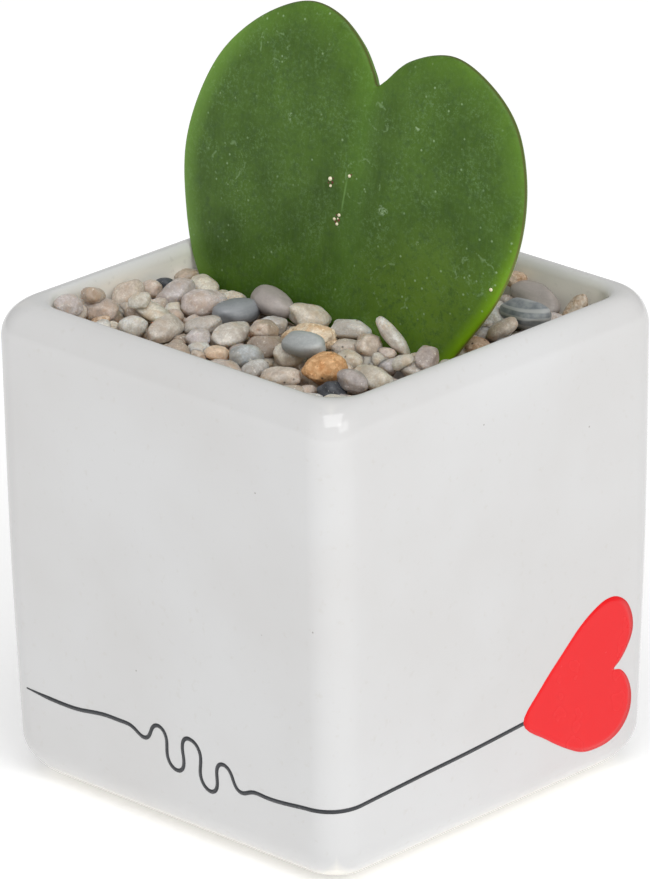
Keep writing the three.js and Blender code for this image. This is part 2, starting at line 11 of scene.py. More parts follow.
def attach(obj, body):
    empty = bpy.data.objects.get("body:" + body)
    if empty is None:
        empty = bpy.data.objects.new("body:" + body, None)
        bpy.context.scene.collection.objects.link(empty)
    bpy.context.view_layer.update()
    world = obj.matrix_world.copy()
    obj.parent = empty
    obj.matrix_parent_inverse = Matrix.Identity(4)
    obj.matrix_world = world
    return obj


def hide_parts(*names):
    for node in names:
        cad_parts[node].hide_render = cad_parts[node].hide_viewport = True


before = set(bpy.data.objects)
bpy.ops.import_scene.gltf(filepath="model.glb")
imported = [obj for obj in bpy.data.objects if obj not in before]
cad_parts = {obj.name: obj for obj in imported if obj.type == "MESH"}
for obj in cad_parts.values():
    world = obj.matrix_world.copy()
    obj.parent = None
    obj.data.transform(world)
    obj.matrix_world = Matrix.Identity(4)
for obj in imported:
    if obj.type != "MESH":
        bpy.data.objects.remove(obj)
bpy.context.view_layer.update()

# Pot: a slip-cast stoneware cube with soft corners, dipped inside and out in a warm white glaze.
# The foot ring was wiped bare before the firing, so that it wouldn't stick to the kiln shelf.
MM = 0.001
POT_WIDTH = 76
POT_FOOT_WIDTH = 73
POT_HEIGHT = 81.7
POT_WALL = 5.35
POT_BELLY = 0.4
OUTER_CORNER = 6
INNER_CORNER = 6
FOOT_ROUNDING = 8.4
RIM_OUTER = (4.1, 6)
RIM_INNER = (1.25, 1.8)
CAVITY_SHIFT = (0.64, 0.6)
FLOOR_TOP = 7
FLOOR_ROUNDING = 6
CAVITY_TAPER = 1.5
FOOT_RING_WIDTH = 4
FOOT_RECESS = 1.2
FOOT_CHAMFER = 1
CORNER_STEPS = 14
ROUNDING_STEPS = 12
INSIDE_STEPS = 8
SIDE_CUTS = 17
WALL_STEP = 3.5
UNEVEN_DEPTH = 0.12
UNEVEN_LENGTH = 24
UNEVEN_FADE = 10
BARE_HEIGHT = 0.6
BARE_REACH = (1, 0.8)
# Painted light in the cavity: it fades in between these distances out from the middle, and is full below this
# height.
CAVITY_LIGHT_TURN = (35, 33.5)
CAVITY_LIGHT_LIP = 79.8
SHARP_BEND = 38


def quarter(centre, size, start, end, steps):
    """Points along a quarter of an ellipse, as (across, up) pairs, between two angles in degrees."""
    angles = [math.radians(start + (end - start) * step / steps) for step in range(steps + 1)]
    return [(centre[0] + size[0] * math.cos(a), centre[1] + size[1] * math.sin(a)) for a in angles]


def wall_half(z):
    """Half the pot's width over the flats at a height above the foot rounding."""
    share = z / POT_HEIGHT
    width = POT_FOOT_WIDTH + (POT_WIDTH - POT_FOOT_WIDTH) * share
    return width / 2 + POT_BELLY * math.sin(math.pi * share)


def inner_half(z):
    """Half the cavity's width over the flats."""
    depth = (POT_HEIGHT - z) / (POT_HEIGHT - FLOOR_TOP)
    return POT_WIDTH / 2 - POT_WALL - CAVITY_TAPER * depth


def levels(low, high):
    """Even steps between two heights, without the ends."""
    count = max(2, round((high - low) / WALL_STEP))
    return [low + (high - low) * step / count for step in range(1, count)]


def uneven(point):
    """The wall's slight unevenness: a hair inwards here and there, never out past its true size."""
    hollow = 0.5 + 0.5 * noise.noise(Vector(point) / UNEVEN_LENGTH)
    fade = max(0, min(1, point[2] / UNEVEN_FADE, (POT_HEIGHT - point[2]) / UNEVEN_FADE))
    shrink = 1 - UNEVEN_DEPTH * hollow * fade / (POT_WIDTH / 2)
    return Vector((point[0] * shrink, point[1] * shrink, point[2]))


def extend_ring(bm, ring):
    """Doubles a ring of edges where it lies; gives the new ring's corners and its edges."""
    made = bmesh.ops.extrude_edge_only(bm, edges=ring)["geom"]
    corners = {g for g in made if isinstance(g, bmesh.types.BMVert)}
    return list(corners), list({e for v in corners for e in v.link_edges if e.other_vert(v) in corners})


def raise_skin(bm, profile, corner_share):
    """Draws a skin along (half width, height, share of the cavity's shift) steps; gives its last ring."""
    known = set(bm.edges)
    half, height, follow = profile[0]
    shift = Vector((*CAVITY_SHIFT, 0))
    middle = Matrix.Translation(shift * follow + Vector((0, 0, height)))
    plate = bmesh.ops.create_grid(bm, x_segments=1, y_segments=1, size=half, matrix=middle)
    bmesh.ops.bevel(bm, geom=plate["verts"], offset=half * corner_share, offset_type="OFFSET",
                    segments=CORNER_STEPS, profile=0.5, affect="VERTICES", material=-1)
    sides = sorted((e for e in bm.edges if e not in known), key=lambda e: e.calc_length())[-4:]
    bmesh.ops.subdivide_edges(bm, edges=sides, cuts=SIDE_CUTS)
    ring = [e for e in bm.edges if e not in known]
    for next_half, next_height, next_follow in profile[1:]:
        corners, ring = extend_ring(bm, ring)
        grow = next_half / half
        bmesh.ops.scale(bm, vec=(grow, grow, 1), space=Matrix.Translation(-shift * follow), verts=corners)
        move = shift * (next_follow - follow) + Vector((0, 0, next_height - height))
        bmesh.ops.translate(bm, vec=move, verts=corners)
        half, height, follow = next_half, next_height, next_follow
    return ring


def make_piece(name, bm, finishes, sharp=180):
    """Turns a shape in millimetres into an object in metres; edges bent by more than sharp stay crisp."""
    bmesh.ops.scale(bm, vec=(MM, MM, MM), verts=bm.verts)
    mesh = bpy.data.meshes.new(name)
    bm.to_mesh(mesh)
    bm.free()
    mesh.shade_smooth()
    mesh.set_sharp_from_angle(angle=math.radians(sharp))
    for finish in finishes:
        mesh.materials.append(finish)
    piece = bpy.data.objects.new(name, mesh)
    bpy.context.scene.collection.objects.link(piece)
    return piece


def paint(red, green, blue):
    """A colour as seen on a screen, 0 to 255, as the linear colour that a shader reads."""
    return (*[((c / 255 + 0.055) / 1.055) ** 2.4 for c in (red, green, blue)], 1)


def start_finish(name, **plain):
    """A new material; plain holds what is the same all over its surface, set on the shader's own sockets."""
    finish = bpy.data.materials.new(name)
    finish.use_nodes = True
    surface = finish.node_tree.nodes["Principled BSDF"].inputs
    for socket, value in plain.items():
        surface[socket.replace("_", " ")].default_value = value
    return finish


def dress(finish, **patterns):
    """Links what varies over the surface to the shader's sockets; gives the finished material."""
    surface = finish.node_tree.nodes["Principled BSDF"].inputs
    for socket, pattern in patterns.items():
        finish.node_tree.links.new(pattern, surface[socket.replace("_", " ")])
    return finish


def put(kind, sockets, tree=None, **options):
    """Adds a shader node; a socket takes a value or another node's output. Gives the node's outputs."""
    fed = {key: value for key, value in sockets.items() if isinstance(value, bpy.types.NodeSocket)}
    tree = tree or next(iter(fed.values())).id_data
    made = tree.nodes.new("ShaderNode" + kind)
    for option, value in options.items():
        setattr(made, option, value)
    for socket, value in sockets.items():
        if socket in fed:
            tree.links.new(value, made.inputs[socket])
        else:
            made.inputs[socket].default_value = value
    return made.outputs


def place_on(finish):
    """Where a point lies on the piece, in millimetres."""
    metres = put("TexCoord", {}, finish.node_tree)["Object"]
    return put("VectorMath", {0: metres, "Scale": 1 / MM}, operation="SCALE")[0]


def cloud(place, size, detail=2.0, roughness=0.5):
    """Soft random patches of a size in millimetres, around 0.5."""
    return put("TexNoise", {"Vector": place, "Scale": 1 / size, "Detail": detail, "Roughness": roughness})[0]


def cells(place, size):
    """Random cells of a size in millimetres: distance to the cell's middle, and the cell's own draws."""
    made = put("TexVoronoi", {"Vector": place, "Scale": 1 / size})
    return made["Distance"], put("SeparateColor", {0: made["Color"]})


def fit(value, low, high, to_low=0.0, to_high=1.0):
    """Brings a value from one range to another and stops at its ends."""
    sockets = {"Value": value, "From Min": low, "From Max": high, "To Min": to_low, "To Max": to_high}
    return put("MapRange", sockets)[0]


def maths(operation, first, second=0.0):
    return put("Math", {0: first, 1: second}, operation=operation)[0]


def times(first, second):
    return maths("MULTIPLY", first, second)


def mix(share, first, second, mode="MIX"):
    """Two colours mixed by a share from 0 to 1."""
    return put("Mix", {0: share, 6: first, 7: second}, data_type="RGBA", blend_type=mode)[2]


def coated(colour, coats):
    """A colour under coats that are laid on in turn, each given as its share and its colour."""
    for share, coat in coats:
        colour = mix(share, colour, coat)
    return colour


def relief(height, depth, strength=1.0, under=None):
    """A bump of a depth in millimetres, on top of another one if given."""
    sockets = {"Height": height, "Distance": depth * MM, "Strength": strength}
    if under is not None:
        sockets["Normal"] = under
    return put("Bump", sockets)[0]


def glaze_finish():
    """Warm white glaze: faintly clouded, painted paler in the cavity as painted light, with a soft swell and
    pinholes.
    """
    finish = start_finish("warm_white_glaze", IOR=1.5)
    place = place_on(finish)
    across = put("SeparateXYZ", {0: put("VectorMath", {0: place}, operation="ABSOLUTE")[0]})
    out = maths("MAXIMUM", across[0], across[1])
    # Painted light: the glaze is painted paler inside the cavity, standing in for light on the inner walls.
    inside = times(fit(out, *CAVITY_LIGHT_TURN), fit(across[2], POT_HEIGHT, CAVITY_LIGHT_LIP))
    gap, draw = cells(place, 5.5)
    pinholes = times(fit(gap, 0.035, 0.02), fit(draw[0], 0.84, 0.85))
    colour = coated(mix(fit(cloud(place, 30, 3), 0.35, 0.65), paint(214, 213, 212), paint(219, 219, 219)), [
        (inside, paint(248, 245, 237)),
        (fit(cloud(place, 1.4, 4), 0.62, 0.75, 0, 0.35), paint(206, 203, 197)),
        (times(pinholes, 0.55), paint(120, 112, 100))])
    swell = relief(cloud(place, 14, 1), 0.12, 0.5)
    peel = relief(cloud(place, 1.6, 2), 0.012, 0.5, swell)
    return dress(finish, Base_Color=colour, Roughness=fit(cloud(place, 9, 3), 0.3, 0.7, 0.06, 0.1),
                 Normal=relief(maths("SUBTRACT", 1, pinholes), 0.05, 0.6, peel))


def bare_clay_finish():
    """The unglazed foot ring: fine buff stoneware, dry to the touch."""
    finish = start_finish("bare_stoneware", Roughness=0.9)
    grog = cloud(place_on(finish), 0.5, 4, 0.7)
    return dress(finish, Base_Color=mix(fit(grog, 0.35, 0.7), paint(196, 184, 164), paint(222, 213, 197)),
                 Normal=relief(grog, 0.08, 0.7))


def shape_pot():
    """The pot's whole skin: foot, wall and rim outside, then the cavity, joined along the rim."""
    bm = bmesh.new()
    foot_half = POT_FOOT_WIDTH / 2 - FOOT_ROUNDING
    ring_inside = foot_half - FOOT_RING_WIDTH
    rim_base = POT_HEIGHT - RIM_OUTER[1]
    rim_peak = POT_WIDTH / 2 - RIM_OUTER[0]
    foot_size = (wall_half(FOOT_ROUNDING) - foot_half, FOOT_ROUNDING)
    outside = [(ring_inside - FOOT_CHAMFER, FOOT_RECESS), (ring_inside, 0)]
    outside += quarter((foot_half, FOOT_ROUNDING), foot_size, -90, 0, ROUNDING_STEPS)
    outside += [(wall_half(z), z) for z in levels(FOOT_ROUNDING, rim_base)]
    outside = [(half, z, 0) for half, z in outside]
    outside += [(half, z, 1 - (half - rim_peak) / RIM_OUTER[0])
                for half, z in quarter((rim_peak, rim_base), RIM_OUTER, 0, 90, ROUNDING_STEPS)]
    rim = raise_skin(bm, outside, OUTER_CORNER / (POT_WIDTH / 2))
    cavity_half = inner_half(FLOOR_TOP) - FLOOR_ROUNDING
    wall_start = FLOOR_TOP + FLOOR_ROUNDING
    lip = POT_HEIGHT - RIM_INNER[1]
    floor_size = (inner_half(wall_start) - cavity_half, FLOOR_ROUNDING)
    inside = quarter((cavity_half, wall_start), floor_size, -90, 0, INSIDE_STEPS)
    inside += [(inner_half(z), z) for z in levels(wall_start, lip)]
    inside += quarter((rim_peak, lip), (-RIM_INNER[0], RIM_INNER[1]), 0, 90, INSIDE_STEPS)[:-1]
    mouth = raise_skin(bm, [(half, z, 1) for half, z in inside], INNER_CORNER / (POT_WIDTH / 2 - POT_WALL))
    bmesh.ops.bridge_loops(bm, edges=rim + mouth)
    bmesh.ops.recalc_face_normals(bm, faces=bm.faces)
    for face in bm.faces:
        middle = face.calc_center_median()
        out = max(abs(middle.x), abs(middle.y))
        on_ring = ring_inside - BARE_REACH[0] < out < foot_half + BARE_REACH[1]
        face.material_index = 1 if on_ring and middle.z < BARE_HEIGHT else 0
    for vert in bm.verts:
        vert.co = uneven(vert.co)
    return bm


pot = make_piece("glazed_pot", shape_pot(), [glaze_finish(), bare_clay_finish()], SHARP_BEND)
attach(pot, "root")
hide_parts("pot")

# Line and heart: a pen line and a plain heart, printed in ceramic ink as transfers and fired on the glaze.
# They have next to no thickness. The line runs in close ripples on the left face and ends in the heart's tip.
TRANSFER_LIFT = 0.04
TRANSFER_SINK = 0.1
HEART_LIFT = 0.05
FACE_HALF = 37
LINE_WIDTH = 0.68
LINE_START_WIDTH = 0.2
LINE_TAPER = 5
LEVEL_STEPS = 12
LINE_LEVELS = [(-68.8, 16.75), (-63.5, 16.4), (-57.5, 16.4), (-50, 17.3), (-36, 16.2), (-24, 14), (-14, 13.6),
               (-6, 14.4), (0, 14.7), (6, 15.05), (20, 15.7), (31, 16.15), (43.2, 16.9)]
RIPPLE_MIDDLE = -31.5
RIPPLE_REACH = 21
RIPPLE_LENGTH = 7
RIPPLE_SWING = math.radians(98)
RIPPLE_SPREAD = 11.5
PEN_STEP = 0.3
HEART_MIDDLE = (19, 19)
HEART_RINGS = 12
HEART_STEPS = 120
HEART_OUTLINE = [(5.7, 16.9), (9.7, 21.8), (14.5, 26.1), (19, 29.8), (22.3, 31.6), (24.8, 32.4),
                 (27.3, 32.2), (29.7, 30.6), (31.2, 27.8), (31.4, 25.2), (30.3, 22.7), (28.6, 20.7),
                 (27.1, 19.6), (28.7, 19), (30.1, 17.6), (31.2, 15.3), (31.5, 13.2), (31.1, 10.9),
                 (29.4, 8.6), (26.4, 7.1), (22.9, 6.8), (19.9, 7.3), (16.2, 9.1), (11.4, 12.2)]


def outer_half(z):
    """Half the pot's width at any height below the rim, with the foot's rounding."""
    if z >= FOOT_ROUNDING:
        return wall_half(z)
    foot_half = POT_FOOT_WIDTH / 2 - FOOT_ROUNDING
    drop = 1 - z / FOOT_ROUNDING
    return foot_half + (wall_half(FOOT_ROUNDING) - foot_half) * math.sqrt(1 - drop * drop)


def on_pot(along, z, lift):
    """A point on the wall: along runs round from the front corner, to the left face below zero."""
    half = outer_half(z)
    corner = half * OUTER_CORNER / (POT_WIDTH / 2)
    straight = half - corner
    bend = FACE_HALF - straight
    turn = math.radians(-45 + 45 * max(-1, min(1, along / bend)))
    outward = Vector((math.cos(turn), math.sin(turn), 0))
    point = Vector((straight, -straight, z)) + outward * corner
    point.x += min(0, along + bend)
    point.y += max(0, along - bend)
    return uneven(point) + outward * lift


def smooth_curve(points, steps, closed):
    """A curve through the points, as a list of points; each stretch is cut into the same number of steps."""
    if closed:
        knots = [points[-1], *points, *points[:2]]
    else:
        knots = [points[0], *points, points[-1]]
    curve = []
    for p in zip(knots, knots[1:], knots[2:], knots[3:]):
        gap = [math.dist(p[k], p[k + 1]) ** 0.5 for k in range(3)]
        gap = [gap[0] or gap[1], gap[1], gap[2] or gap[1]]
        for step in range(steps):
            t = step / steps
            where = []
            for a, b, c, d in zip(*p):
                leave = ((b - a) / gap[0] - (c - a) / (gap[0] + gap[1]) + (c - b) / gap[1]) * gap[1]
                reach = ((c - b) / gap[1] - (d - b) / (gap[1] + gap[2]) + (d - c) / gap[2]) * gap[1]
                where.append(b + leave * t + (3 * (c - b) - 2 * leave - reach) * t ** 2
                             + (2 * (b - c) + leave + reach) * t ** 3)
            curve.append(tuple(where))
    return curve if closed else [*curve, points[-1]]


def ripple():
    """A packet of round ripples about its middle crest, as (along, height) steps."""
    half_packet = [(0.0, 0.0)]
    along, height, phase = 0.0, 0.0, 0.0
    while along < RIPPLE_REACH:
        swing = RIPPLE_SWING * math.exp(-((along / RIPPLE_SPREAD) ** 4))
        pace = sum(math.cos(swing * math.sin(math.radians(angle))) for angle in range(0, 180, 10)) / 18
        direction = -swing * math.sin(phase)
        along += PEN_STEP * math.cos(direction)
        height += PEN_STEP * math.sin(direction)
        phase += 2 * math.pi * PEN_STEP * pace / RIPPLE_LENGTH
        half_packet.append((along, height))
    half_packet = [(a, h - height) for a, h in half_packet]
    return [(-a, h) for a, h in reversed(half_packet[1:])] + half_packet


def pen_path():
    """The whole line, from its thin start on the left face to the heart's tip on the right one."""
    start, end = LINE_LEVELS[0][0], LINE_LEVELS[-1][0]
    packet = [(RIPPLE_MIDDLE + a, h) for a, h in ripple()]
    lead_in = int((packet[0][0] - start) / PEN_STEP)
    lead_out = int((end - packet[-1][0]) / PEN_STEP)
    path = [(start + (packet[0][0] - start) * k / lead_in, 0.0) for k in range(lead_in)]
    path += packet
    path += [(packet[-1][0] + (end - packet[-1][0]) * (k + 1) / lead_out, 0.0) for k in range(lead_out)]
    level = smooth_curve(LINE_LEVELS, LEVEL_STEPS, closed=False)
    placed = []
    for along, height in path:
        right = next((k for k, point in enumerate(level) if point[0] >= along), len(level) - 1)
        left = level[max(0, right - 1)]
        span = level[right][0] - left[0]
        share = (along - left[0]) / span if span else 0
        placed.append((along, left[1] + (level[right][1] - left[1]) * share + height))
    return placed


def ink_finish(name, colour, worn):
    """Fired ceramic ink: a dense colour with a dull gloss and the print's faint grain."""
    finish = start_finish(name, Specular_IOR_Level=0.3)
    place = place_on(finish)
    grain = fit(cloud(place, 0.7, 3, 0.6), 0.5, 0.8, 0, 0.35)
    drift = fit(cloud(place, 8, 2), 0.35, 0.65, 0, 0.3)
    return dress(finish, Base_Color=mix(maths("ADD", grain, drift), colour, worn),
                 Roughness=fit(cloud(place, 5, 2), 0.3, 0.7, 0.2, 0.3),
                 Normal=relief(cloud(place, 1.6, 2), 0.003, 0.5))


def shape_line():
    """A strip along the pen's path, laid on the wall."""
    path = pen_path()
    bm = bmesh.new()
    steps = len(path) - 1
    bmesh.ops.create_grid(bm, x_segments=steps, y_segments=1, size=1)
    for vert in bm.verts:
        k = round((vert.co.x + 1) / 2 * steps)
        before, after = path[max(0, k - 1)], path[min(steps, k + 1)]
        length = math.dist(before, after)
        side = ((before[1] - after[1]) / length, (after[0] - before[0]) / length)
        grown = min(1, (path[k][0] - path[0][0]) / LINE_TAPER)
        half = (LINE_START_WIDTH + (LINE_WIDTH - LINE_START_WIDTH) * grown) / 2 * vert.co.y
        vert.co = on_pot(path[k][0] + side[0] * half, path[k][1] + side[1] * half, TRANSFER_LIFT)
    return bm


def shape_heart():
    """The heart in rings from its outline inwards, laid on the right face."""
    outline = smooth_curve(HEART_OUTLINE, HEART_STEPS // len(HEART_OUTLINE), closed=True)
    bm = bmesh.new()
    bmesh.ops.create_circle(bm, segments=len(outline), radius=1)
    for vert, (y, z) in zip(list(bm.verts), outline):
        vert.co = (y, z, 0)
    ring = list(bm.edges)
    to_middle = Matrix.Translation((-HEART_MIDDLE[0], -HEART_MIDDLE[1], 0))
    for k in range(HEART_RINGS, 1, -1):
        corners, ring = extend_ring(bm, ring)
        shrink = (k - 1) / k
        bmesh.ops.scale(bm, vec=(shrink, shrink, 1), space=to_middle, verts=corners)
    middle = bmesh.ops.contextual_create(bm, geom=ring)["faces"]
    bmesh.ops.poke(bm, faces=middle)
    for vert in bm.verts:
        vert.co = on_pot(vert.co.x + FACE_HALF, vert.co.y, HEART_LIFT)
    return bm


def lay_transfer(name, bm, finish):
    """Makes a transfer a closed thin skin that bites a little into the glaze."""
    bmesh.ops.recalc_face_normals(bm, faces=bm.faces)
    if sum(face.normal.x - face.normal.y for face in bm.faces) < 0:
        bmesh.ops.reverse_faces(bm, faces=bm.faces)
    transfer = make_piece(name, bm, [finish])
    skin = transfer.modifiers.new("skin", "SOLIDIFY")
    skin.thickness = TRANSFER_SINK * MM
    skin.offset = -1
    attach(transfer, "root")


lay_transfer("pen_line", shape_line(), ink_finish("grey_ink", paint(52, 54, 57), paint(74, 76, 79)))
lay_transfer("red_heart", shape_heart(), ink_finish("red_enamel", paint(240, 18, 26), paint(236, 28, 32)))

# Soil: a dark block of peaty potting soil that fills the pot to just under the pebbles.
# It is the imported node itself, and only its surface is dressed.


def soil_finish():
    """Peat and bark: dark crumbs with paler flecks."""
    finish = start_finish("peaty_soil", Roughness=0.95)
    place = place_on(finish)
    crumbs = cloud(place, 1.8, 5, 0.7)
    colour = mix(fit(crumbs, 0.3, 0.7), paint(38, 28, 21), paint(78, 60, 45))
    flecks = fit(cells(place, 3)[0], 0.12, 0.05)
    return dress(finish, Base_Color=mix(flecks, colour, paint(150, 130, 104)), Normal=relief(crumbs, 0.9))


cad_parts["soil"].data.materials.clear()
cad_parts["soil"].data.materials.append(soil_finish())

# Pebbles: river gravel for top dressing, mostly milky quartz, with some granite, basalt and slate.
# It is poured on the soil by hand, so the stones lie as they settled; the ones that stand out come first,
# then drawn ones settle into the lowest places left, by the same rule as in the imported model.
GAP = 0.35
SOIL_TOP = 70
BED_GROUND = 76.1
BED_HEAP = 1.3
BED_HOLLOW = 0.9
HEAP_FRONT = -12
HEAP_BACK = 4
STONE_COVER = 2.2
WIDTH_SHARE = (0.66, 0.88)
FLAT_SHARE = (0.66, 0.88)
STONE_SINK = 0.6
MAX_SLOPE = 0.45
FOOTING = 0.7
BED_AREA = (-30, 30)
PLACES_TRIED = 16
STONE_SEED = 4711
CHOSEN_DETAIL = 4
LEVEL_TOLERANCE = 0.4
EGG_SWELL = 1.05
DRAWN_STONES = [(76, (2.5, 4), 4), (80, (1.6, 2.3), 3)]
LEAF_STRIP = (1, 5.6)
LEAF_TURN = math.radians(3)
GRID_HALF = 32

# The quarry's colours, as stones of each kind look in soft daylight.
STONE_COLOURS = {
    "beige": (198, 188, 176), "pink_beige": (193, 181, 171), "tan": (180, 166, 152), "mauve": (197, 189, 185),
    "cream": (208, 201, 187), "white": (206, 202, 194), "milk": (214, 212, 205), "lilac": (193, 188, 187),
    "grey": (186, 182, 176), "slate": (140, 142, 145), "dark": (54, 56, 60), "pale_slate": (170, 173, 172),
    "blue_grey": (178, 180, 178), "yellow_white": (209, 205, 193), "brown": (164, 150, 136),
    "granite": (228, 214, 192), "rust": (214, 170, 124), "orange": (210, 189, 168), "salmon": (200, 176, 154),
    "mauve_grey": (172, 163, 158),
}

# Place as x and y, length, width, turn in degrees, slope of a stone that leans, kind of stone and its colour.
CHOSEN_STONES = [
    (-27.8, -22.3, 6.9, 5.6, -13, None, "quartz", "pink_beige"),
    (-30.8, 0, 4.3, 2.9, 90, 0.15, "quartz", "tan"),
    (-22.7, -19, 4.9, 3.7, 0, 0.15, "quartz", "tan"),
    (-22.4, -25.1, 3.2, 2.6, 44, None, "quartz", "cream"),
    (-29.3, -26.9, 4.8, 4.1, 11, None, "quartz", "beige"),
    (-28.5, -28.6, 4.5, 3.7, 60, -0.15, "quartz", "lilac"),
    (-28.1, -23.4, 3.9, 3.2, 80, -0.3, "quartz", "tan"),
    (-19.2, -18.7, 8.5, 3.8, 15, None, "quartz", "cream"),
    (-25.1, -1.8, 7, 4.3, -19, None, "quartz", "yellow_white"),
    (-20.9, -20.4, 3.6, 2.9, 33, None, "quartz", "cream"),
    (-18.9, -23.9, 5.1, 4.3, -28, 0.3, "quartz", "milk"),
    (-30.5, -5.2, 3.1, 2.4, 30, None, "basalt", "dark"),
    (-17.5, -2.5, 3.8, 3.1, 40, -0.3, "quartz", "cream"),
    (-17.7, -9.2, 7.5, 5.1, 75, None, "quartz", "mauve"),
    (-29.3, -10, 4.3, 3.6, 60, -0.15, "quartz", "pink_beige"),
    (-7.6, -25.5, 4.8, 3.8, -13, -0.15, "quartz", "tan"),
    (-24.4, -8.6, 6.8, 4.3, 73, 0.3, "quartz", "mauve"),
    (-12, -7.7, 8.1, 5.5, 80, None, "slate", "slate"),
    (-9, -19.2, 5.1, 3.9, 120, None, "quartz", "mauve"),
    (-12, -15.3, 6.2, 3.6, 62, 0.15, "quartz", "grey"),
    (-5, -6.6, 4.4, 3.6, 44, None, "quartz", "grey"),
    (-9.5, -2.2, 9.7, 5.9, -17, None, "slate", "mauve_grey"),
    (-14.4, -21.3, 7.8, 4.6, 105, None, "quartz", "beige"),
    (-5.7, -15.1, 7.9, 5.1, 98, None, "quartz", "white"),
    (-3, -21.2, 4.3, 3.4, 19, None, "quartz", "orange"),
    (-29.4, -14.7, 6.3, 4.6, 98, 0.3, "quartz", "beige"),
    (1, -14.3, 5.8, 4.8, 44, None, "quartz", "brown"),
    (-1.5, -12.2, 5.8, 3.9, 108, -0.3, "quartz", "tan"),
    (1.8, -19.5, 5.3, 4.3, 44, None, "quartz", "pale_slate"),
    (6.1, -14.4, 4.9, 4.5, 37, None, "quartz", "cream"),
    (5.1, 0.6, 6.7, 3.8, 28, None, "quartz", "white"),
    (4.5, -8.5, 9.6, 5.5, 6, 0.15, "granite", "granite"),
    (-2.4, -1.1, 6.7, 5, 30, -0.3, "quartz", "cream"),
    (6.2, -22.2, 5.1, 3.6, 100, None, "quartz", "grey"),
    (9.8, -14.6, 8.3, 5, -4, 0.15, "slate", "blue_grey"),
    (11.9, -22.4, 6.2, 4.4, 40, None, "quartz", "beige"),
    (10, -5.7, 4.6, 3.8, 50, None, "quartz", "beige"),
    (21.5, -20.6, 4.8, 3.8, 44, None, "basalt", "dark"),
    (16.4, -17.2, 7.4, 6, 90, None, "granite", "rust"),
    (15.7, -2.6, 3.2, 2.7, 20, None, "quartz", "pink_beige"),
    (13.2, -3.6, 5.3, 3.8, 108, None, "quartz", "beige"),
    (23.8, -18.7, 4.8, 4.1, 60, None, "quartz", "mauve_grey"),
    (25.5, -6.2, 4.7, 3.9, 44, -0.3, "quartz", "beige"),
    (15.5, -0.7, 7.7, 3.7, 224, 1.3, "quartz", "white"),
    (26.4, -4.6, 5, 3.6, 110, 0.35, "quartz", "mauve_grey"),
    (23.1, -13.3, 7.7, 4.9, -9, None, "quartz", "yellow_white"),
    (24.4, 9.1, 4.1, 3.3, 44, -0.3, "granite", "salmon"),
    (21.3, 14.1, 3.2, 2.7, 52, None, "quartz", "mauve"),
    (24.2, 14.9, 5.3, 3.2, 48, 0.7, "quartz", "beige"),
    (18.3, 19.5, 5.8, 4, -36, None, "quartz", "white"),
    (23.3, 21.2, 8.8, 5.2, 0, None, "banded", "slate"),
    (17.9, 29.9, 11.5, 5.3, -16, None, "slate", "mauve_grey"),
    (26.3, 29.4, 6.2, 3.9, 44, 1.2, "granite", "beige"),
    (24.1, -7.6, 3.7, 2.7, 20, None, "quartz", "cream"),
    (-11.2, -20.8, 2.9, 2.5, 40, None, "quartz", "brown"),
    (27, -0.2, 3.4, 2.7, 40, None, "quartz", "grey"),
    (12, 31.2, 3.9, 3.1, 30, 0, "granite", "orange"),
    (-4.7, -23.7, 2.7, 2.2, 20, -0.3, "quartz", "tan"),
    (21.1, -6, 4.3, 3.4, 44, None, "quartz", "lilac"),
]


def clamp(value, low, high):
    return min(high, max(low, value))


def ground_level(x, y):
    """Ground under the loose stones: heaped towards the left corner, lower at the back on the right."""
    half = POT_WIDTH / 2 - POT_WALL
    forward = clamp((HEAP_BACK - y) / (HEAP_BACK - HEAP_FRONT), 0, 1)
    heap = max(0, -x / half) * forward
    hollow = max(0, x / half) * max(0, y / half)
    return BED_GROUND + BED_HEAP * heap - BED_HOLLOW * hollow


def seeded_draws(seed):
    """A steady stream of numbers between 0 and 1, the same on every run."""
    state = seed
    while True:
        state = state * 16807 % 2147483647
        yield state / 2147483647


def unit(vector):
    length = math.sqrt(sum(c * c for c in vector))
    return [c / length for c in vector]


class Stone:
    """An egg-shaped stone: its place, its three half lengths and the axes that it is turned to."""

    def __init__(self, x, y, size, turn, slope_x, slope_y):
        up = unit([-slope_x, -slope_y, 1])
        flat = [math.cos(turn), math.sin(turn), 0]
        tilt = sum(f * u for f, u in zip(flat, up))
        along = unit([f - u * tilt for f, u in zip(flat, up)])
        across = [up[i - 2] * along[i - 1] - up[i - 1] * along[i - 2] for i in range(3)]
        self.x, self.y, self.z = x, y, 0.0
        self.size = size
        self.axes = [along, across, up]
        self.reach = [math.sqrt(self.sum_of(i, i, 2)) for i in range(3)]
        self.xx, self.xy, self.yy = self.sum_of(0, 0, -2), self.sum_of(0, 1, -2), self.sum_of(1, 1, -2)
        self.xz, self.yz, self.zz = self.sum_of(0, 2, -2), self.sum_of(1, 2, -2), self.sum_of(2, 2, -2)

    def sum_of(self, i, j, power):
        return sum(axis[i] * axis[j] * self.size[k] ** power for k, axis in enumerate(self.axes))

    def column(self, dx, dy):
        """Over a point beside the stone's middle: how far up its core lies, and the half height there."""
        shift = -(self.xz * dx + self.yz * dy) / self.zz
        rest = self.xx * dx * dx + 2 * self.xy * dx * dy + self.yy * dy * dy - 1
        square = shift * shift - rest / self.zz
        return (shift, math.sqrt(square)) if square > 0 else None


bed_heights = [ground_level(column + 0.5 - GRID_HALF, row + 0.5 - GRID_HALF)
               for row in range(2 * GRID_HALF) for column in range(2 * GRID_HALF)]


def height_at(x, y):
    column, row = [clamp(math.floor(along + GRID_HALF), 0, 2 * GRID_HALF - 1) for along in (x, y)]
    return bed_heights[row * 2 * GRID_HALF + column]


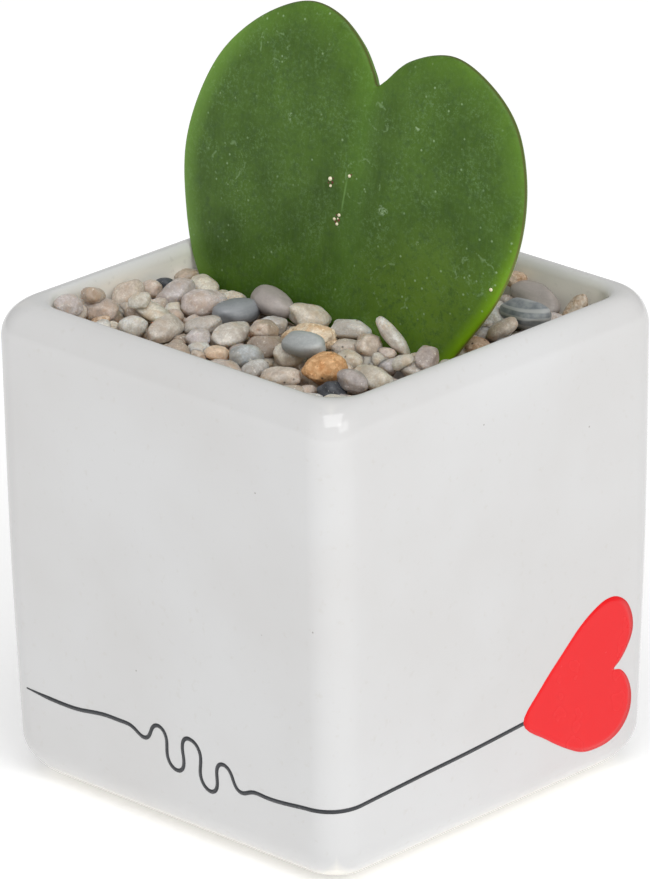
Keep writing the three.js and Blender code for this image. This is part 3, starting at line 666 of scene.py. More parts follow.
def cells_under(stone):
    """Each cell of the bed under a stone, with the stone's core and half height there."""
    columns, rows = [
        range(max(0, math.ceil(middle - reach + GRID_HALF - 0.5)),
              min(2 * GRID_HALF - 1, math.floor(middle + reach + GRID_HALF - 0.5)) + 1)
        for middle, reach in zip((stone.x, stone.y), stone.reach)]
    for row in rows:
        for column in columns:
            span = stone.column(column + 0.5 - GRID_HALF - stone.x, row + 0.5 - GRID_HALF - stone.y)
            if span:
                yield row * 2 * GRID_HALF + column, span


def settle(x, y, size, turn, lean=None):
    """Lets a stone down on the bed: it tilts with the slope under it, or leans as told, and sinks in."""
    def slope_in(angle, half):
        step = FOOTING * half
        dx, dy = step * math.cos(angle), step * math.sin(angle)
        rise = height_at(x + dx, y + dy) - height_at(x - dx, y - dy)
        return clamp(rise / (2 * step), -MAX_SLOPE, MAX_SLOPE)

    along = slope_in(turn, size[0]) if lean is None else lean
    across = slope_in(turn + math.pi / 2, size[1])
    slope_x = along * math.cos(turn) - across * math.sin(turn)
    slope_y = along * math.sin(turn) + across * math.cos(turn)
    stone = Stone(x, y, size, turn, slope_x, slope_y)
    stone.z = max(bed_heights[cell] - shift + half for cell, (shift, half) in cells_under(stone)) - STONE_SINK
    return stone


def is_clear(stone, strip):
    """True where a stone keeps off the wall and off the strip of bed along the foot of the leaf."""
    reach_x, reach_y = stone.reach[0], stone.reach[1]
    wall = inner_half(stone.z) - GAP
    out_x, out_y = abs(stone.x - CAVITY_SHIFT[0]), abs(stone.y - CAVITY_SHIFT[1])
    if out_x + reach_x > wall or out_y + reach_y > wall:
        return False
    corner = wall - INNER_CORNER
    past = math.hypot(max(0, out_x - corner), max(0, out_y - corner))
    in_bend = out_x > corner and out_y > corner
    if in_bend and past + min(reach_x, reach_y) > INNER_CORNER:
        return False
    from_line = stone.y - stone.x * math.tan(LEAF_TURN)
    return from_line + reach_y < strip[0] or from_line - reach_y > strip[1]


def lay_down(stone):
    for cell, (shift, half) in cells_under(stone):
        bed_heights[cell] = max(bed_heights[cell], stone.z + shift + half)


def lay_stones():
    """The chosen stones first, then drawn ones, each in the lowest of the places tried."""
    draws = seeded_draws(STONE_SEED)

    def between(low_high):
        return low_high[0] + (low_high[1] - low_high[0]) * next(draws)

    laid = []
    for x, y, long, wide, turn, lean, kind, colour in CHOSEN_STONES:
        size = [long / 2, wide / 2, wide / 2 * between(FLAT_SHARE)]
        stone = settle(x, y, size, math.radians(turn), lean)
        stone.kind, stone.colour, stone.detail = kind, colour, CHOSEN_DETAIL
        lay_down(stone)
        laid.append(stone)
    for count, half_length, detail in DRAWN_STONES:
        for _ in range(count):
            best, lowest = None, LEVEL_TOLERANCE
            for _ in range(PLACES_TRIED):
                half = between(half_length)
                wide = half * between(WIDTH_SHARE)
                size = [half, wide, wide * between(FLAT_SHARE)]
                x, y = between(BED_AREA) + CAVITY_SHIFT[0], between(BED_AREA) + CAVITY_SHIFT[1]
                stone = settle(x, y, size, math.pi * next(draws))
                over = stone.z + stone.reach[2] - ground_level(x, y) - STONE_COVER
                if over < lowest and is_clear(stone, LEAF_STRIP):
                    best, lowest = stone, over
            if best:
                best.kind, best.detail = None, detail
                lay_down(best)
                laid.append(best)
    return laid


# How each kind of stone is worn: depth of its flats, its swell and its roughness, as shares of its size.
STONE_WEAR = {
    "quartz": (0.84, 0.14, 0.022), "granite": (0.86, 0.16, 0.07), "basalt": (0.8, 0.12, 0.05),
    "slate": (0.84, 0.08, 0.01), "banded": (0.86, 0.06, 0.008),
}
FLATS = 6
SHALLOWEST_FLAT = 0.97
FLAT_SOFTNESS = 0.13
SWELL_PACE = 1.5
PIT_PACE = 6
TAPER = 0.07
BLUNTNESS = (2.1, 2.6)
STONE_LIGHT = (0.98, 1.1)
STONE_WARMTH = (0.97, 1.03)
PLACE_SPREAD = 50
# Stones are darker and browner low down: fully below the first height over the ground, not at all above the
# second.
LOW_BROWN_FULL = -0.4
LOW_BROWN_END = 2
# Kinds and colours of the drawn stones, with how often each comes.
DRAWN_MIX = [
    (0.2, "quartz", "beige"), (0.15, "quartz", "cream"), (0.11, "quartz", "pink_beige"),
    (0.1, "quartz", "white"), (0.09, "quartz", "mauve"), (0.07, "quartz", "grey"),
    (0.06, "quartz", "yellow_white"), (0.05, "quartz", "lilac"), (0.05, "slate", "slate"),
    (0.04, "quartz", "tan"), (0.03, "granite", "granite"),
    (0.02, "granite", "orange"), (0.02, "basalt", "dark"), (0.01, "slate", "mauve_grey"),
]
LOOKS_SEED = 90210
look_draws = seeded_draws(LOOKS_SEED)


def look_between(low, high):
    return low + (high - low) * next(look_draws)


def draw_kind():
    """A kind of stone and a colour, drawn from the mix."""
    pick = next(look_draws)
    for share, kind, colour in DRAWN_MIX:
        pick -= share
        if pick < 0:
            return kind, colour
    return DRAWN_MIX[0][1:]


def start_stones():
    """An empty heap; its points keep the stone's colour, their place on it and how near the ground they lie.
    """
    bm = bmesh.new()
    bm.verts.layers.float_color.new("stone_tint")
    bm.verts.layers.float_vector.new("stone_place")
    bm.verts.layers.float.new("stone_lowness")
    return bm


def add_stone(bm, stone):
    """Adds one stone: a blunt ball worn to soft flats, swollen and pitted, then stretched to its size."""
    least, swell, pits = STONE_WEAR[stone.kind]
    flats = [(Vector(unit([look_between(-1, 1) for _ in range(3)])), look_between(least, SHALLOWEST_FLAT))
             for _ in range(FLATS)]
    seed = Vector([look_between(-PLACE_SPREAD, PLACE_SPREAD) for _ in range(3)])
    taper = look_between(-TAPER, TAPER)
    blunt = look_between(*BLUNTNESS)
    red, green, blue, _ = paint(*STONE_COLOURS[stone.colour])
    light = look_between(*STONE_LIGHT)
    warmth = look_between(*STONE_WARMTH)
    tint = (red * light * warmth, green * light, blue * light / warmth, 1)
    ball = bmesh.ops.create_icosphere(bm, subdivisions=stone.detail, radius=1)["verts"]
    for vert in ball:
        along, around = abs(vert.co.x), math.hypot(vert.co.y, vert.co.z)
        point = vert.co / (along ** blunt + around ** blunt) ** (1 / blunt)
        for facing, depth in flats:
            over = point.dot(facing) - depth
            point -= facing * ((over + math.hypot(over, FLAT_SOFTNESS)) / 2)
        point *= (1 + swell * noise.noise(point * SWELL_PACE + seed)
                  + pits * noise.noise(point * PIT_PACE + seed))
        point.y *= 1 + taper * point.x
        point.z *= 1 + taper * point.x
        vert.co = point
    low = [min(vert.co[k] for vert in ball) for k in range(3)]
    high = [max(vert.co[k] for vert in ball) for k in range(3)]
    layers = bm.verts.layers
    place_layer, lowness_layer = layers.float_vector["stone_place"], layers.float["stone_lowness"]
    for vert in ball:
        own = [(2 * vert.co[k] - low[k] - high[k]) / (high[k] - low[k]) * stone.size[k] * EGG_SWELL
               for k in range(3)]
        vert[layers.float_color["stone_tint"]] = tint
        vert[place_layer] = Vector(own) + seed
        vert.co = [middle + sum(own[k] * stone.axes[k][i] for k in range(3))
                   for i, middle in enumerate((stone.x, stone.y, stone.z))]
        above = vert.co.z - ground_level(vert.co.x, vert.co.y)
        vert[lowness_layer] = 1 - clamp((above - LOW_BROWN_FULL) / (LOW_BROWN_END - LOW_BROWN_FULL), 0, 1)


def kept_with(finish, name, output):
    """What the mesh itself keeps for each of its points under a name."""
    return put("Attribute", {}, finish.node_tree, attribute_name=name)[output]


def toned(colour, red, green, blue):
    """A colour with each of its channels made stronger or weaker."""
    return mix(1, colour, (red, green, blue, 1), "MULTIPLY")


def crooked(place, size, detail, swing):
    """A place shifted at random within a swing, so that a pattern on it runs crooked."""
    shift = put("TexNoise", {"Vector": place, "Scale": 1 / size, "Detail": detail})[1]
    return put("VectorMath", {0: shift, 1: swing, 2: place}, operation="MULTIPLY_ADD")[0]


def start_stone(name, **plain):
    """A stone's finish, the stone's own colour, and where a point lies on the stone."""
    finish = start_finish(name, **plain)
    return finish, kept_with(finish, "stone_tint", "Color"), kept_with(finish, "stone_place", "Vector")


def browned_low(finish, colour, place):
    """Darker and browner low on a stone, thinning out in patches further up."""
    patches = fit(cloud(place, 1.3, 4, 0.65), 0.3, 0.7, -0.35, 0.35)
    share = fit(maths("ADD", kept_with(finish, "stone_lowness", "Fac"), patches), 0.4, 1.2, 0, 0.7)
    return mix(share, colour, toned(colour, 0.74, 0.62, 0.5))


def quartz_finish():
    """Milky quartz: cloudy and a little see-through, with iron stains, hair cracks and dark specks."""
    finish, tint, place = start_stone("milky_quartz", Subsurface_Weight=0.8, Subsurface_Scale=2.6 * MM,
                                      Subsurface_Radius=(1.0, 0.85, 0.7))
    cracks = put("TexVoronoi", {"Vector": place, "Scale": 1 / 2.4}, feature="DISTANCE_TO_EDGE")["Distance"]
    veins = times(fit(cracks, 0.03, 0.0, 0, 0.4), fit(cloud(place, 2.2), 0.5, 0.62))
    gap, draw = cells(place, 1.5)
    specks = times(fit(gap, 0.16, 0.08), fit(draw[0], 0.87, 0.88))
    colour = coated(toned(tint, 0.78, 0.76, 0.75), [
        (fit(cloud(place, 2.6, 6, 0.7), 0.36, 0.64), toned(tint, 1.34, 1.35, 1.38)),
        (fit(cloud(place, 0.35, 3, 0.7), 0.4, 0.65, 0, 0.6), toned(tint, 0.74, 0.68, 0.63)),
        (fit(cloud(place, 3.2, 4, 0.65), 0.52, 0.66, 0, 0.55), toned(tint, 0.94, 0.78, 0.62)),
        (fit(cloud(place, 0.6, 2), 0.64, 0.7, 0, 0.55), paint(232, 228, 220)),
        (veins, toned(tint, 0.62, 0.5, 0.4)),
        (times(specks, 0.75), paint(62, 56, 50))])
    dented = relief(cloud(place, 1.5, 3, 0.55), 0.3, 0.6)
    pitted = relief(cloud(place, 0.45, 4, 0.65), 0.09, 0.7, dented)
    return dress(finish, Base_Color=browned_low(finish, colour, place),
                 Roughness=fit(cloud(place, 1.1, 4, 0.65), 0.3, 0.7, 0.24, 0.55),
                 Normal=relief(maths("SUBTRACT", 1, veins), 0.06, 0.5, pitted))


def granite_finish():
    """Granite and rusty sandstone: fine crystals of several tones, rust in patches, and dark mica."""
    finish, tint, place = start_stone("coarse_granite", Roughness=0.65)
    gap, draw = cells(crooked(place, 0.8, 3, (0.5, 0.5, 0.5)), 0.55)
    mica = times(fit(draw[1], 0.93, 0.95), fit(gap, 0.4, 0.25))
    colour = coated(toned(tint, 0.82, 0.72, 0.6), [
        (draw[0], toned(tint, 1.18, 1.2, 1.22)),
        (fit(cloud(place, 1.8, 5, 0.7), 0.48, 0.64, 0, 0.75), toned(tint, 0.86, 0.62, 0.4)),
        (fit(cloud(place, 0.55, 4, 0.7), 0.56, 0.66, 0, 0.65), toned(tint, 1.5, 1.5, 1.5)),
        (times(mica, 0.85), paint(58, 46, 36))])
    return dress(finish, Base_Color=browned_low(finish, colour, place),
                 Normal=relief(cloud(place, 0.7, 5, 0.7), 0.35, 0.8, relief(gap, 0.16, 0.8)))


def basalt_finish():
    """Basalt: near black, with fine pale crystals that glint; their pale colour is partly a painted glint."""
    finish, tint, place = start_stone("dark_basalt")
    crystals_and_painted_glints = fit(cloud(place, 0.5, 5, 0.8), 0.6, 0.68)
    colour = coated(toned(tint, 0.6, 0.6, 0.62), [
        (fit(cloud(place, 1.6, 4, 0.6), 0.3, 0.7), toned(tint, 2.2, 2.25, 2.3)),
        # Pale crystal colour, partly a painted highlight that stands in for glints.
        (crystals_and_painted_glints, paint(206, 206, 200))])
    return dress(finish, Base_Color=colour, Roughness=fit(crystals_and_painted_glints, 0, 1, 0.5, 0.2),
                 Normal=relief(cloud(place, 0.7, 4, 0.6), 0.16, 0.6))


def slate_finish():
    """Smooth slate and chert: even, fine-grained, with faint layers and a dull polish."""
    finish, tint, place = start_stone("smooth_slate")
    layers = put("Mapping", {"Vector": place, "Scale": (0.35, 0.6, 2.2)})[0]
    colour = coated(toned(tint, 0.8, 0.8, 0.8), [
        (fit(cloud(layers, 2.6, 4, 0.6), 0.3, 0.7), toned(tint, 1.16, 1.15, 1.13)),
        (fit(cloud(place, 0.35, 3), 0.45, 0.75, 0, 0.35), toned(tint, 1.3, 1.28, 1.24))])
    return dress(finish, Base_Color=browned_low(finish, colour, place),
                 Roughness=fit(cloud(place, 1.2, 2), 0.3, 0.7, 0.36, 0.5),
                 Normal=relief(cloud(place, 0.4, 3), 0.03, 0.5))


def banded_finish():
    """Banded slate: dark blue-grey with pale quartz rings where the layers are worn through."""
    finish, tint, place = start_stone("banded_slate")
    layers = put("Mapping", {"Vector": place, "Scale": (0.7, 0.7, 2.4), "Rotation": (0.5, 0.25, 0)})[0]
    bands = put("TexWave", {"Vector": layers, "Scale": 0.11, "Distortion": 5.0, "Detail": 2.0},
                wave_type="BANDS", bands_direction="Z")[1]
    pale = fit(bands, 0.5, 0.85)
    dark = mix(fit(cloud(place, 1.1, 4), 0.3, 0.7), paint(112, 119, 126), paint(160, 164, 166))
    colour = mix(pale, dark, toned(tint, 1.7, 1.66, 1.56))
    return dress(finish, Base_Color=browned_low(finish, colour, place),
                 Roughness=fit(cloud(place, 1.4, 2), 0.3, 0.7, 0.36, 0.5), Normal=relief(pale, 0.08, 0.5))


laid_stones = lay_stones()
stone_finishes = {"quartz": quartz_finish(), "granite": granite_finish(), "basalt": basalt_finish(),
                  "slate": slate_finish(), "banded": banded_finish()}
for stone in laid_stones:
    if stone.kind is None:
        stone.kind, stone.colour = draw_kind()
for kind, finish in stone_finishes.items():
    heap = start_stones()
    for stone in laid_stones:
        if stone.kind == kind:
            add_stone(heap, stone)
    pebbles = make_piece("pebbles_" + kind, heap, [finish])
    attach(pebbles, "root")
    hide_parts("pebbles")

# Lower stones and grit: small gravel between and under the pebbles, with dark peaty dust in the gaps.
# It shows only where the upper stones leave a gap.
LOWER_STONES = 330
LOWER_HALF = (1.3, 2.3)
LOWER_DEPTH = (0.5, 1.9)
LOWER_TILT = 0.6
LOWER_STRIP = (1.2, 5.2)
LOWER_DETAIL = 2
GRIT_DEPTH = 1.7
GRIT_ROUGH = 0.7
GRIT_LENGTH = 1.8
GRIT_RINGS = 26


def grit_finish():
    """Damp brown grit and peat dust."""
    finish = start_finish("brown_grit", Roughness=0.9)
    place = place_on(finish)
    gap, draw = cells(place, 0.9)
    grains = mix(draw[0], paint(104, 84, 68), paint(168, 146, 124))
    damp = fit(cloud(place, 3, 3), 0.45, 0.65)
    return dress(finish, Base_Color=mix(damp, grains, paint(84, 66, 52)), Normal=relief(gap, 0.35))


def shape_grit():
    """A block under the loose stones, with a rough top that follows the ground."""
    bm = bmesh.new()
    low = SOIL_TOP + GAP
    half = inner_half(BED_GROUND) - GAP
    profile = [(inner_half(low) - GAP, low, 1)]
    profile += [(half * (1 - step / GRIT_RINGS), BED_GROUND, 1) for step in range(GRIT_RINGS)]
    ring = raise_skin(bm, profile, INNER_CORNER / (POT_WIDTH / 2 - POT_WALL))
    bmesh.ops.contextual_create(bm, geom=ring)
    bmesh.ops.recalc_face_normals(bm, faces=bm.faces)
    for vert in bm.verts:
        if vert.co.z > low + GAP:
            rough = GRIT_ROUGH * noise.noise(Vector((vert.co.x, vert.co.y, 0)) / GRIT_LENGTH)
            vert.co.z = ground_level(vert.co.x, vert.co.y) - GRIT_DEPTH + rough
    return bm


def scatter_lower_stones():
    """Small stones at random below the upper ones, clear of the wall and the leaf."""
    heap = start_stones()
    for _ in range(LOWER_STONES):
        half = look_between(*LOWER_HALF)
        wide = half * look_between(*WIDTH_SHARE)
        size = [half, wide, wide * look_between(*FLAT_SHARE)]
        x, y = look_between(*BED_AREA) + CAVITY_SHIFT[0], look_between(*BED_AREA) + CAVITY_SHIFT[1]
        tilt = [look_between(-LOWER_TILT, LOWER_TILT) for _ in range(2)]
        stone = Stone(x, y, size, math.pi * next(look_draws), *tilt)
        stone.z = ground_level(x, y) - look_between(*LOWER_DEPTH)
        _, stone.colour = draw_kind()
        stone.kind, stone.detail = "quartz", LOWER_DETAIL
        if is_clear(stone, LOWER_STRIP):
            add_stone(heap, stone)
    return heap


lower_stones = make_piece("pebbles_lower", scatter_lower_stones(), [stone_finishes["quartz"]])
grit = make_piece("bed_grit", shape_grit(), [grit_finish()])
for piece in (lower_stones, grit):
    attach(piece, "root")
    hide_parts("pebbles")

# Leaf: one thick, waxy heart-shaped leaf that was cut with its stalk and rooted by itself.
# It stands in a slot in the soil, leans back a little, and its rim bends slightly backwards.
LEAF_FOOT = (0, 3.2, 77)
LEAF_LEAN = math.radians(8)
LEAF_HALF_THICKNESS = 1.55
LEAF_EDGE_HALF = 0.4
LEAF_HEART = (1, 15)
LEAF_CURL = 0.8
LEAF_FULLNESS = 6
LEAF_ROUND = 0.016
LEAF_OUTLINE = [
    (1.2, -19.5), (9, -16), (17, -9.3), (24.9, 0.6), (31.2, 10), (34.4, 19.5), (34.4, 29.5), (31.4, 37.8),
    (25.3, 43.2), (17.9, 45.8), (9.5, 43.3), (4.9, 39.2), (3.4, 38.2), (2.4, 40), (-0.3, 44), (-5.5, 47.8),
    (-11.5, 48.8), (-20.1, 45.3), (-28.3, 38.2), (-32.9, 29.9), (-35.1, 20.5), (-33.9, 10.3), (-31.3, 2.2),
    (-27, -3.8), (-19.5, -10), (-9, -16.5),
]
LEAF_OUTLINE_STEPS = 12
MARGIN_STEPS = 4
LEAF_RINGS = 30
LEAF_RING_CROWD = 2.2
STALK_RADIUS = 2
STALK_TAPER = 0.4
STALK_ROOT = 5
STALK_END = (1, -34)
STALK_SIDES = 24
NOTCH = (3.4, 38.2)
RIB_DEPTH = (0.1, 0.45)
RIB_WIDTH = (1.6, 3.2)
LEAF_WAVE = 0.14
LEAF_WAVE_LENGTH = 13

leaf_stand = (Matrix.Translation(LEAF_FOOT) @ Matrix.Rotation(LEAF_TURN, 4, "Z")
              @ Matrix.Rotation(math.pi / 2 - LEAF_LEAN, 4, "X"))
leaf_outline = smooth_curve(LEAF_OUTLINE, LEAF_OUTLINE_STEPS, closed=True)


def blade_depth(x, s, share, side):
    """How far the blade's front (side 1) or back (side -1) lies before its middle plane."""
    dome = math.sqrt(max(0, 1 - share ** LEAF_FULLNESS))
    past = max(0, share - (1 - LEAF_ROUND)) / LEAF_ROUND
    edge = LEAF_EDGE_HALF * math.sqrt(max(0, 1 - past * past))
    half = edge + (LEAF_HALF_THICKNESS - LEAF_EDGE_HALF) * dome
    up = clamp((s - LEAF_OUTLINE[0][1]) / (NOTCH[1] - LEAF_OUTLINE[0][1]), 0, 1)
    rib_x = LEAF_OUTLINE[0][0] + (NOTCH[0] - LEAF_OUTLINE[0][0]) * up
    depth = RIB_DEPTH[0] + (RIB_DEPTH[1] - RIB_DEPTH[0]) * up ** 3
    width = RIB_WIDTH[0] + (RIB_WIDTH[1] - RIB_WIDTH[0]) * up ** 2
    groove = depth * math.exp(-(((x - rib_x) / width) ** 2)) * dome
    wave = LEAF_WAVE * dome * noise.noise(Vector((x, s, 0)) / LEAF_WAVE_LENGTH)
    return side * half - LEAF_CURL * share ** 2 - groove + wave


def draw_ring(bm, ring, share, side):
    """Pulls the ring one step further in over the blade's face; gives the new ring."""
    corners, ring = extend_ring(bm, ring)
    index = bm.verts.layers.int["outline_index"]
    for vert in corners:
        x, s = leaf_outline[vert[index]]
        x = LEAF_HEART[0] + (x - LEAF_HEART[0]) * share
        s = LEAF_HEART[1] + (s - LEAF_HEART[1]) * share
        vert.co = (x, s, blade_depth(x, s, share, side))
    return ring


def shape_leaf():
    """Blade and stalk: rings from the rim to the middle, on the front and then on the back."""
    bm = bmesh.new()
    index = bm.verts.layers.int.new("outline_index")
    place = bm.verts.layers.float_vector.new("blade_place")
    margin = bm.verts.layers.float.new("margin")
    bmesh.ops.create_circle(bm, segments=len(leaf_outline), radius=1)
    for k, vert in enumerate(bm.verts):
        vert[index] = k
        vert.co = (*leaf_outline[k], -LEAF_CURL)
    rim = list(bm.edges)
    for side in (1, -1):
        ring = rim
        for step in range(1, LEAF_RINGS):
            ring = draw_ring(bm, ring, 1 - (step / LEAF_RINGS) ** LEAF_RING_CROWD, side)
        middle = bmesh.ops.contextual_create(bm, geom=ring)["faces"]
        bmesh.ops.poke(bm, faces=middle)
    foot = Vector((STALK_END[0], STALK_END[1], 0))
    tip_x, tip_s = LEAF_OUTLINE[0]
    root_share = 1 - STALK_ROOT / (LEAF_HEART[1] - tip_s)
    top = Vector((tip_x, tip_s + STALK_ROOT, -LEAF_CURL * root_share ** 2))
    axis = (top - foot).to_track_quat("Z", "Y").to_matrix().to_4x4()
    bmesh.ops.create_cone(bm, cap_ends=True, segments=STALK_SIDES, radius1=STALK_RADIUS,
                          radius2=STALK_RADIUS - STALK_TAPER, depth=(top - foot).length,
                          matrix=Matrix.Translation((top + foot) / 2) @ axis)
    bmesh.ops.recalc_face_normals(bm, faces=bm.faces)
    near = kdtree.KDTree(len(leaf_outline) * MARGIN_STEPS)
    fine = smooth_curve(LEAF_OUTLINE, LEAF_OUTLINE_STEPS * MARGIN_STEPS, closed=True)
    for k, (x, s) in enumerate(fine):
        near.insert((x, s, 0), k)
    near.balance()
    for vert in bm.verts:
        vert[place] = vert.co
        vert[margin] = near.find((vert.co.x, vert.co.y, 0))[2]
    bmesh.ops.transform(bm, matrix=leaf_stand, verts=bm.verts)
    return bm


# Marks on the blade's front, as (across, up, radius): a spot of painted light, dried water marks, places
# where scurf gathers, and scuffs. They lie in the plane of the front skin.
SKIN_PLANE = 1.4
PAINTED_LIGHT_SPOT = [(19, 2, 19)]
WATER_MARKS = [(-17.2, 40.6, 2.9), (5.2, 33.6, 2.2), (3.6, 22.8, 3.4), (27.2, 13.2, 3.3), (25.2, 10.6, 1.7),
               (10.4, 7.2, 3.4), (-24.5, 20, 3.2)]
SCURF_SPOTS = [(-25.5, 19.5, 7), (-14, 41, 7), (4.5, 21.5, 5), (17, 6, 9), (27, 12, 6), (-22, 8, 6),
               (18, 36, 8)]
SCUFFS = [(8.4, 19.3, 1), (-12.8, 30, 0.8), (13.6, 33.9, 0.5), (23.3, 41.2, 0.5), (-28.8, 29.8, 0.4),
          (-30.6, 20, 0.4), (15.9, 15.9, 0.5), (-0.8, 39.8, 0.5)]
RIB_RISE = (38, -19)
RIB_ACROSS = (3.4, 0.4)
CREASE_SLOPE = 0.095
CREASE_SHIFT = 1.65
WAVER = 3.2


def strongest(place, marks, shape):
    """The strongest mark at each point; shape makes a share of the distance from a mark and its radius."""
    shares = []
    for x, s, radius in marks:
        away = put("VectorMath", {0: place, 1: (x, s, SKIN_PLANE)}, operation="DISTANCE")["Value"]
        shares.append(shape(away, radius))
    return functools.reduce(lambda first, second: maths("MAXIMUM", first, second), shares)


def leaf_green(blade, fibres, across, up):
    """The blade's flesh: green in patches, paler upwards, yellower at the foot, with fibres and mottles."""
    mottles = times(fit(cloud(blade, 0.6, 5, 0.8), 0.48, 0.64, 0, 0.7), fit(up, -8, 14, 0.4, 1))
    mottles = times(mottles, fit(cloud(blade, 5, 4, 0.7), 0.42, 0.62, 0.25, 1))
    from_rib = maths("SUBTRACT", across, fit(up, *RIB_RISE, *RIB_ACROSS))
    rib = times(fit(maths("ABSOLUTE", from_rib), 4, 0), fit(up, -6, 30, 0.1, 0.35))
    from_crease = maths("ADD", maths("SUBTRACT", across, times(up, CREASE_SLOPE)), CREASE_SHIFT)
    crease = fit(maths("ABSOLUTE", from_crease), 0.25, 0.05, 0, 0.5)
    crease = times(crease, times(fit(up, 17, 18.5), fit(up, 24, 21)))
    # Painted light: a pale spot low on the right of the blade stands in for light falling there.
    pale = strongest(blade, PAINTED_LIGHT_SPOT, lambda away, radius: fit(away, radius, 1, 0, 0.8))
    return coated(mix(fit(cloud(blade, 9, 5, 0.6), 0.36, 0.64), paint(50, 77, 18), paint(78, 110, 36)), [
        (fit(up, 0, 48, 0, 0.45), paint(84, 114, 48)),
        (pale, paint(120, 152, 56)),
        (fit(up, 16, -14, 0, 0.75), paint(66, 102, 8)),
        (fit(cloud(fibres, 0.45, 3, 0.6), 0.35, 0.75, 0, 0.35), paint(88, 120, 46)),
        (fit(cloud(blade, 1.6, 4, 0.7), 0.5, 0.72, 0, 0.4), paint(92, 124, 68)),
        (mottles, paint(112, 144, 92)),
        (fit(cloud(blade, 1.6, 6, 0.8), 0.5, 0.66, 0, 0.6), paint(52, 78, 30)),
        (rib, paint(96, 136, 52)),
        (crease, paint(128, 166, 96))])


def leaf_finish():
    """Leaf skin: waxy dark green with fine fibres, a paler rim that is partly painted light and brightest on
    the left, scurf and dried water marks.
    """
    finish = start_finish("leaf_skin", Subsurface_Weight=0.12, Subsurface_Scale=1.0 * MM,
                          Subsurface_Radius=(0.5, 1.0, 0.2), Specular_IOR_Level=0.17)
    blade = kept_with(finish, "blade_place", "Vector")
    margin = kept_with(finish, "margin", "Fac")
    across, up, front = put("SeparateXYZ", {0: blade})
    fibres = put("Mapping", {"Vector": blade, "Scale": (1, 0.1, 1)})[0]
    # Painted light: the paler rim is made brighter on the left, where the blade faces away from the light.
    left = fit(across, -14, -26)
    rim_patches_and_left_light = maths("MAXIMUM", fit(cloud(blade, 6, 3, 0.6), 0.35, 0.65, 0.15, 0.6), times(left, 0.7))
    low_right = times(fit(across, 4, 26), fit(up, 26, 2))
    gap, draw = cells(blade, 1.15)
    scurf = strongest(blade, SCURF_SPOTS, lambda away, radius: fit(away, radius, 0, 0, 0.55))
    flecks = times(fit(gap, 0.22, 0.08), fit(maths("ADD", draw[0], scurf), 0.82, 1.0))
    wavy = crooked(blade, 3, 2, (WAVER, WAVER, 0))
    wavy = put("VectorMath", {0: wavy, 1: (WAVER / 2, WAVER / 2, 0)}, operation="SUBTRACT")[0]
    rings = strongest(wavy, WATER_MARKS, lambda away, radius: fit(
        maths("ABSOLUTE", maths("SUBTRACT", away, radius)), 0.28, 0.05))
    scuffs = strongest(wavy, SCUFFS, lambda away, radius: fit(away, radius, radius / 2))
    edge = times(fit(front, -1.0, -0.8), fit(front, -0.35, -0.55))
    rim = times(fit(margin, 0.25, 0.1, 0, 0.75), edge)
    colour = coated(leaf_green(blade, fibres, across, up), [
        # Paler rim: partly the leaf's own colour and partly painted light, brightest on the left.
        (times(fit(margin, 4.5, 0.3), rim_patches_and_left_light), mix(left, paint(96, 134, 44), paint(122, 166, 66))),
        (times(low_right, fit(margin, 2.2, 0.3)), paint(126, 172, 16)),
        (times(flecks, 0.7), paint(158, 186, 140)),
        (times(rings, fit(cloud(blade, 2.4, 5, 0.75), 0.49, 0.58, 0, 0.5)), paint(138, 168, 118)),
        (times(scuffs, fit(cloud(blade, 0.5, 4, 0.8), 0.46, 0.56, 0, 0.85)), paint(158, 184, 142)),
        (fit(front, -0.4, -1.0, 0, 0.55), paint(104, 132, 72)),
        (rim, mix(low_right, paint(84, 82, 40), paint(132, 120, 60)))])
    grain = relief(cloud(fibres, 0.7, 3), 0.03, 0.4, relief(cloud(blade, 0.5, 3), 0.03, 0.5))
    return dress(finish, Base_Color=colour, Roughness=fit(cloud(blade, 4, 4, 0.6), 0.3, 0.7, 0.36, 0.52),
                 Normal=relief(flecks, 0.05, 0.6, grain))


leaf = make_piece("heart_leaf", shape_leaf(), [leaf_finish()])
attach(leaf, "root")
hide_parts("leaf")

# Sap beads: a few drops of dried cream-coloured sap near the leaf's middle, with red-brown scars beside them.
# Each stands a fraction of a millimetre proud of the skin.
SAP_BEADS = [(-2.8, 22.1, 0.36), (-2.6, 21.0, 0.24), (0.9, 23.3, 0.28), (-0.4, 16.7, 0.28),
             (-1.3, 15.9, 0.26), (-0.7, 15.2, 0.27), (30.2, 11.3, 0.3), (-0.6, 16.1, 0.16)]
SAP_SCARS = [(-2.3, 21.6, 0.22), (-2.2, 22.3, 0.16), (-0.4, 15.9, 0.22), (-1.0, 15.5, 0.2),
             (-0.9, 16.6, 0.16), (1.2, 23.6, 0.14), (-3.1, 21.4, 0.14)]
BEAD_DETAIL = 3
BEYOND_RIM = 100


def blade_share(x, s):
    """How far a point lies on the way from the leaf's middle to its rim."""
    middle = Vector(LEAF_HEART)
    way = Vector((x, s)) - middle
    beyond = middle + way.normalized() * BEYOND_RIM
    for start, end in zip(leaf_outline, leaf_outline[1:] + leaf_outline[:1]):
        rim = geometry.intersect_line_line_2d(middle, beyond, start, end)
        if rim is not None:
            return way.length / (rim - middle).length


def shape_beads(beads, flatness):
    """Flattened drops that sit on the blade's front."""
    bm = bmesh.new()
    for x, s, radius in beads:
        drop = bmesh.ops.create_icosphere(bm, subdivisions=BEAD_DETAIL, radius=radius)["verts"]
        bmesh.ops.scale(bm, vec=(1, 1, flatness), verts=drop)
        bmesh.ops.translate(bm, vec=(x, s, blade_depth(x, s, blade_share(x, s), 1)), verts=drop)
    bmesh.ops.transform(bm, matrix=leaf_stand, verts=bm.verts)
    return bm


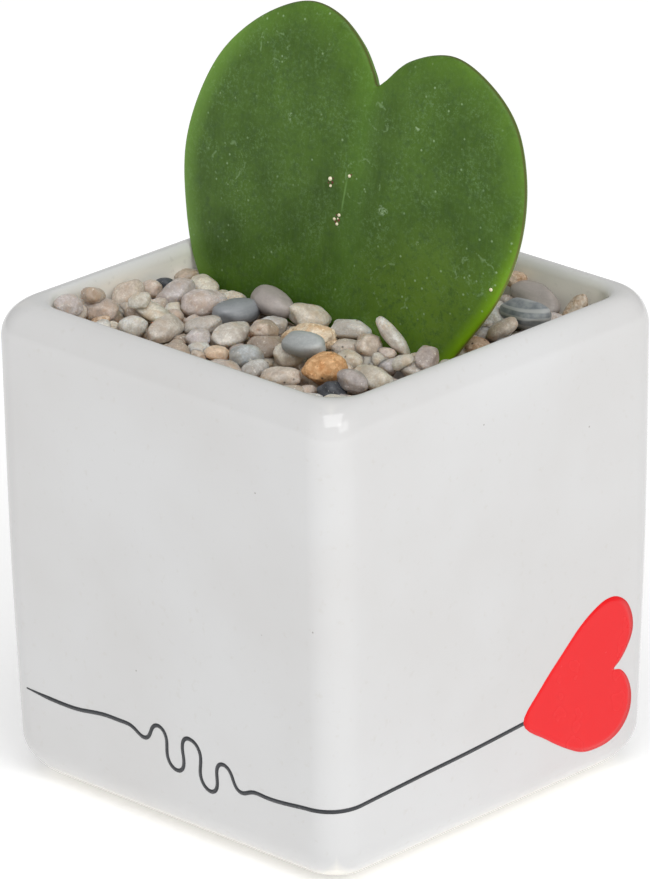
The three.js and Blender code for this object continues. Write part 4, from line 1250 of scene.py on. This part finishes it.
def sap_finish(name, dark, light):
    """Dried sap: a dull sheen and a slightly uneven colour."""
    finish = start_finish(name, Roughness=0.4)
    return dress(finish, Base_Color=mix(fit(cloud(place_on(finish), 0.3), 0.35, 0.65), dark, light))


for name, beads, flatness, dark, light in (
        ("sap_beads", SAP_BEADS, 0.8, paint(226, 214, 178), paint(247, 240, 212)),
        ("sap_scars", SAP_SCARS, 0.3, paint(84, 30, 20), paint(122, 52, 34))):
    drops = make_piece(name, shape_beads(beads, flatness), [sap_finish(name, dark, light)])
    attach(drops, "root")

# Studio: a pale light table, light from all round, and two large soft boxes, one above the camera and one on
# the right. The camera stands where the photograph was taken from, a little above the pot's front corner.
FLOOR_SIZE = 6
FLOOR_DROP = 0.05
WORLD_LIGHT = 0.42
FLOOR_GLOW = (0.24, 0.34)
GLOW_REACH = (80, 320)
SOFT_BOXES = [
    ("front_box", (940, -850, 2036), 1700, 28.4),
    ("right_box", (2040, -360, 1280), 1100, 8.7),
]
LAMP_AIM = (0, 0, 38)
CAMERA_PLACE = (789.0254, -813.0555, 502.5212)
CAMERA_ANGLES = (1.1961679, 0.0120054, 0.7658945)
FOCAL_PIXELS = 7666
FRAME_HEIGHT_PIXELS = 879
SENSOR = 36
CLIP = (0.05, 20)


def floor_finish():
    """Plain pale light table, very faintly uneven, with a weak light of its own that grows outwards."""
    finish = start_finish("pale_floor", Roughness=0.7, Emission_Color=(1, 1, 1, 1))
    place = place_on(finish)
    away = put("VectorMath", {0: place}, operation="LENGTH")["Value"]
    tone = fit(cloud(place, 200, 2), 0.3, 0.7)
    return dress(finish, Base_Color=mix(tone, paint(248, 248, 248), paint(250, 250, 250)),
                 Emission_Strength=fit(away, *GLOW_REACH, *FLOOR_GLOW))


ground = bmesh.new()
bmesh.ops.create_grid(ground, x_segments=1, y_segments=1, size=FLOOR_SIZE / MM / 2)
bmesh.ops.translate(ground, vec=(0, 0, -FLOOR_DROP), verts=ground.verts)
floor = make_piece("floor", ground, [floor_finish()])

world = bpy.data.worlds.new("studio_air")
world.use_nodes = True
world.node_tree.nodes["Background"].inputs["Color"].default_value = (1, 1, 1, 1)
world.node_tree.nodes["Background"].inputs["Strength"].default_value = WORLD_LIGHT
bpy.context.scene.world = world

for name, place, width, power in SOFT_BOXES:
    box = bpy.data.lights.new(name, "AREA")
    box.shape = "SQUARE"
    box.size = width * MM
    box.energy = power
    lamp = bpy.data.objects.new(name, box)
    lamp.location = Vector(place) * MM
    lamp.rotation_euler = (Vector(LAMP_AIM) - Vector(place)).to_track_quat("-Z", "Y").to_euler()
    bpy.context.scene.collection.objects.link(lamp)

lens = bpy.data.cameras.new("camera")
lens.sensor_width = SENSOR
lens.lens = FOCAL_PIXELS / FRAME_HEIGHT_PIXELS * SENSOR
lens.clip_start, lens.clip_end = CLIP
camera = bpy.data.objects.new("camera", lens)
camera.location = Vector(CAMERA_PLACE) * MM
camera.rotation_euler = CAMERA_ANGLES
bpy.context.scene.collection.objects.link(camera)
bpy.context.scene.camera = camera
bpy.context.scene.view_settings.view_transform = "Standard"
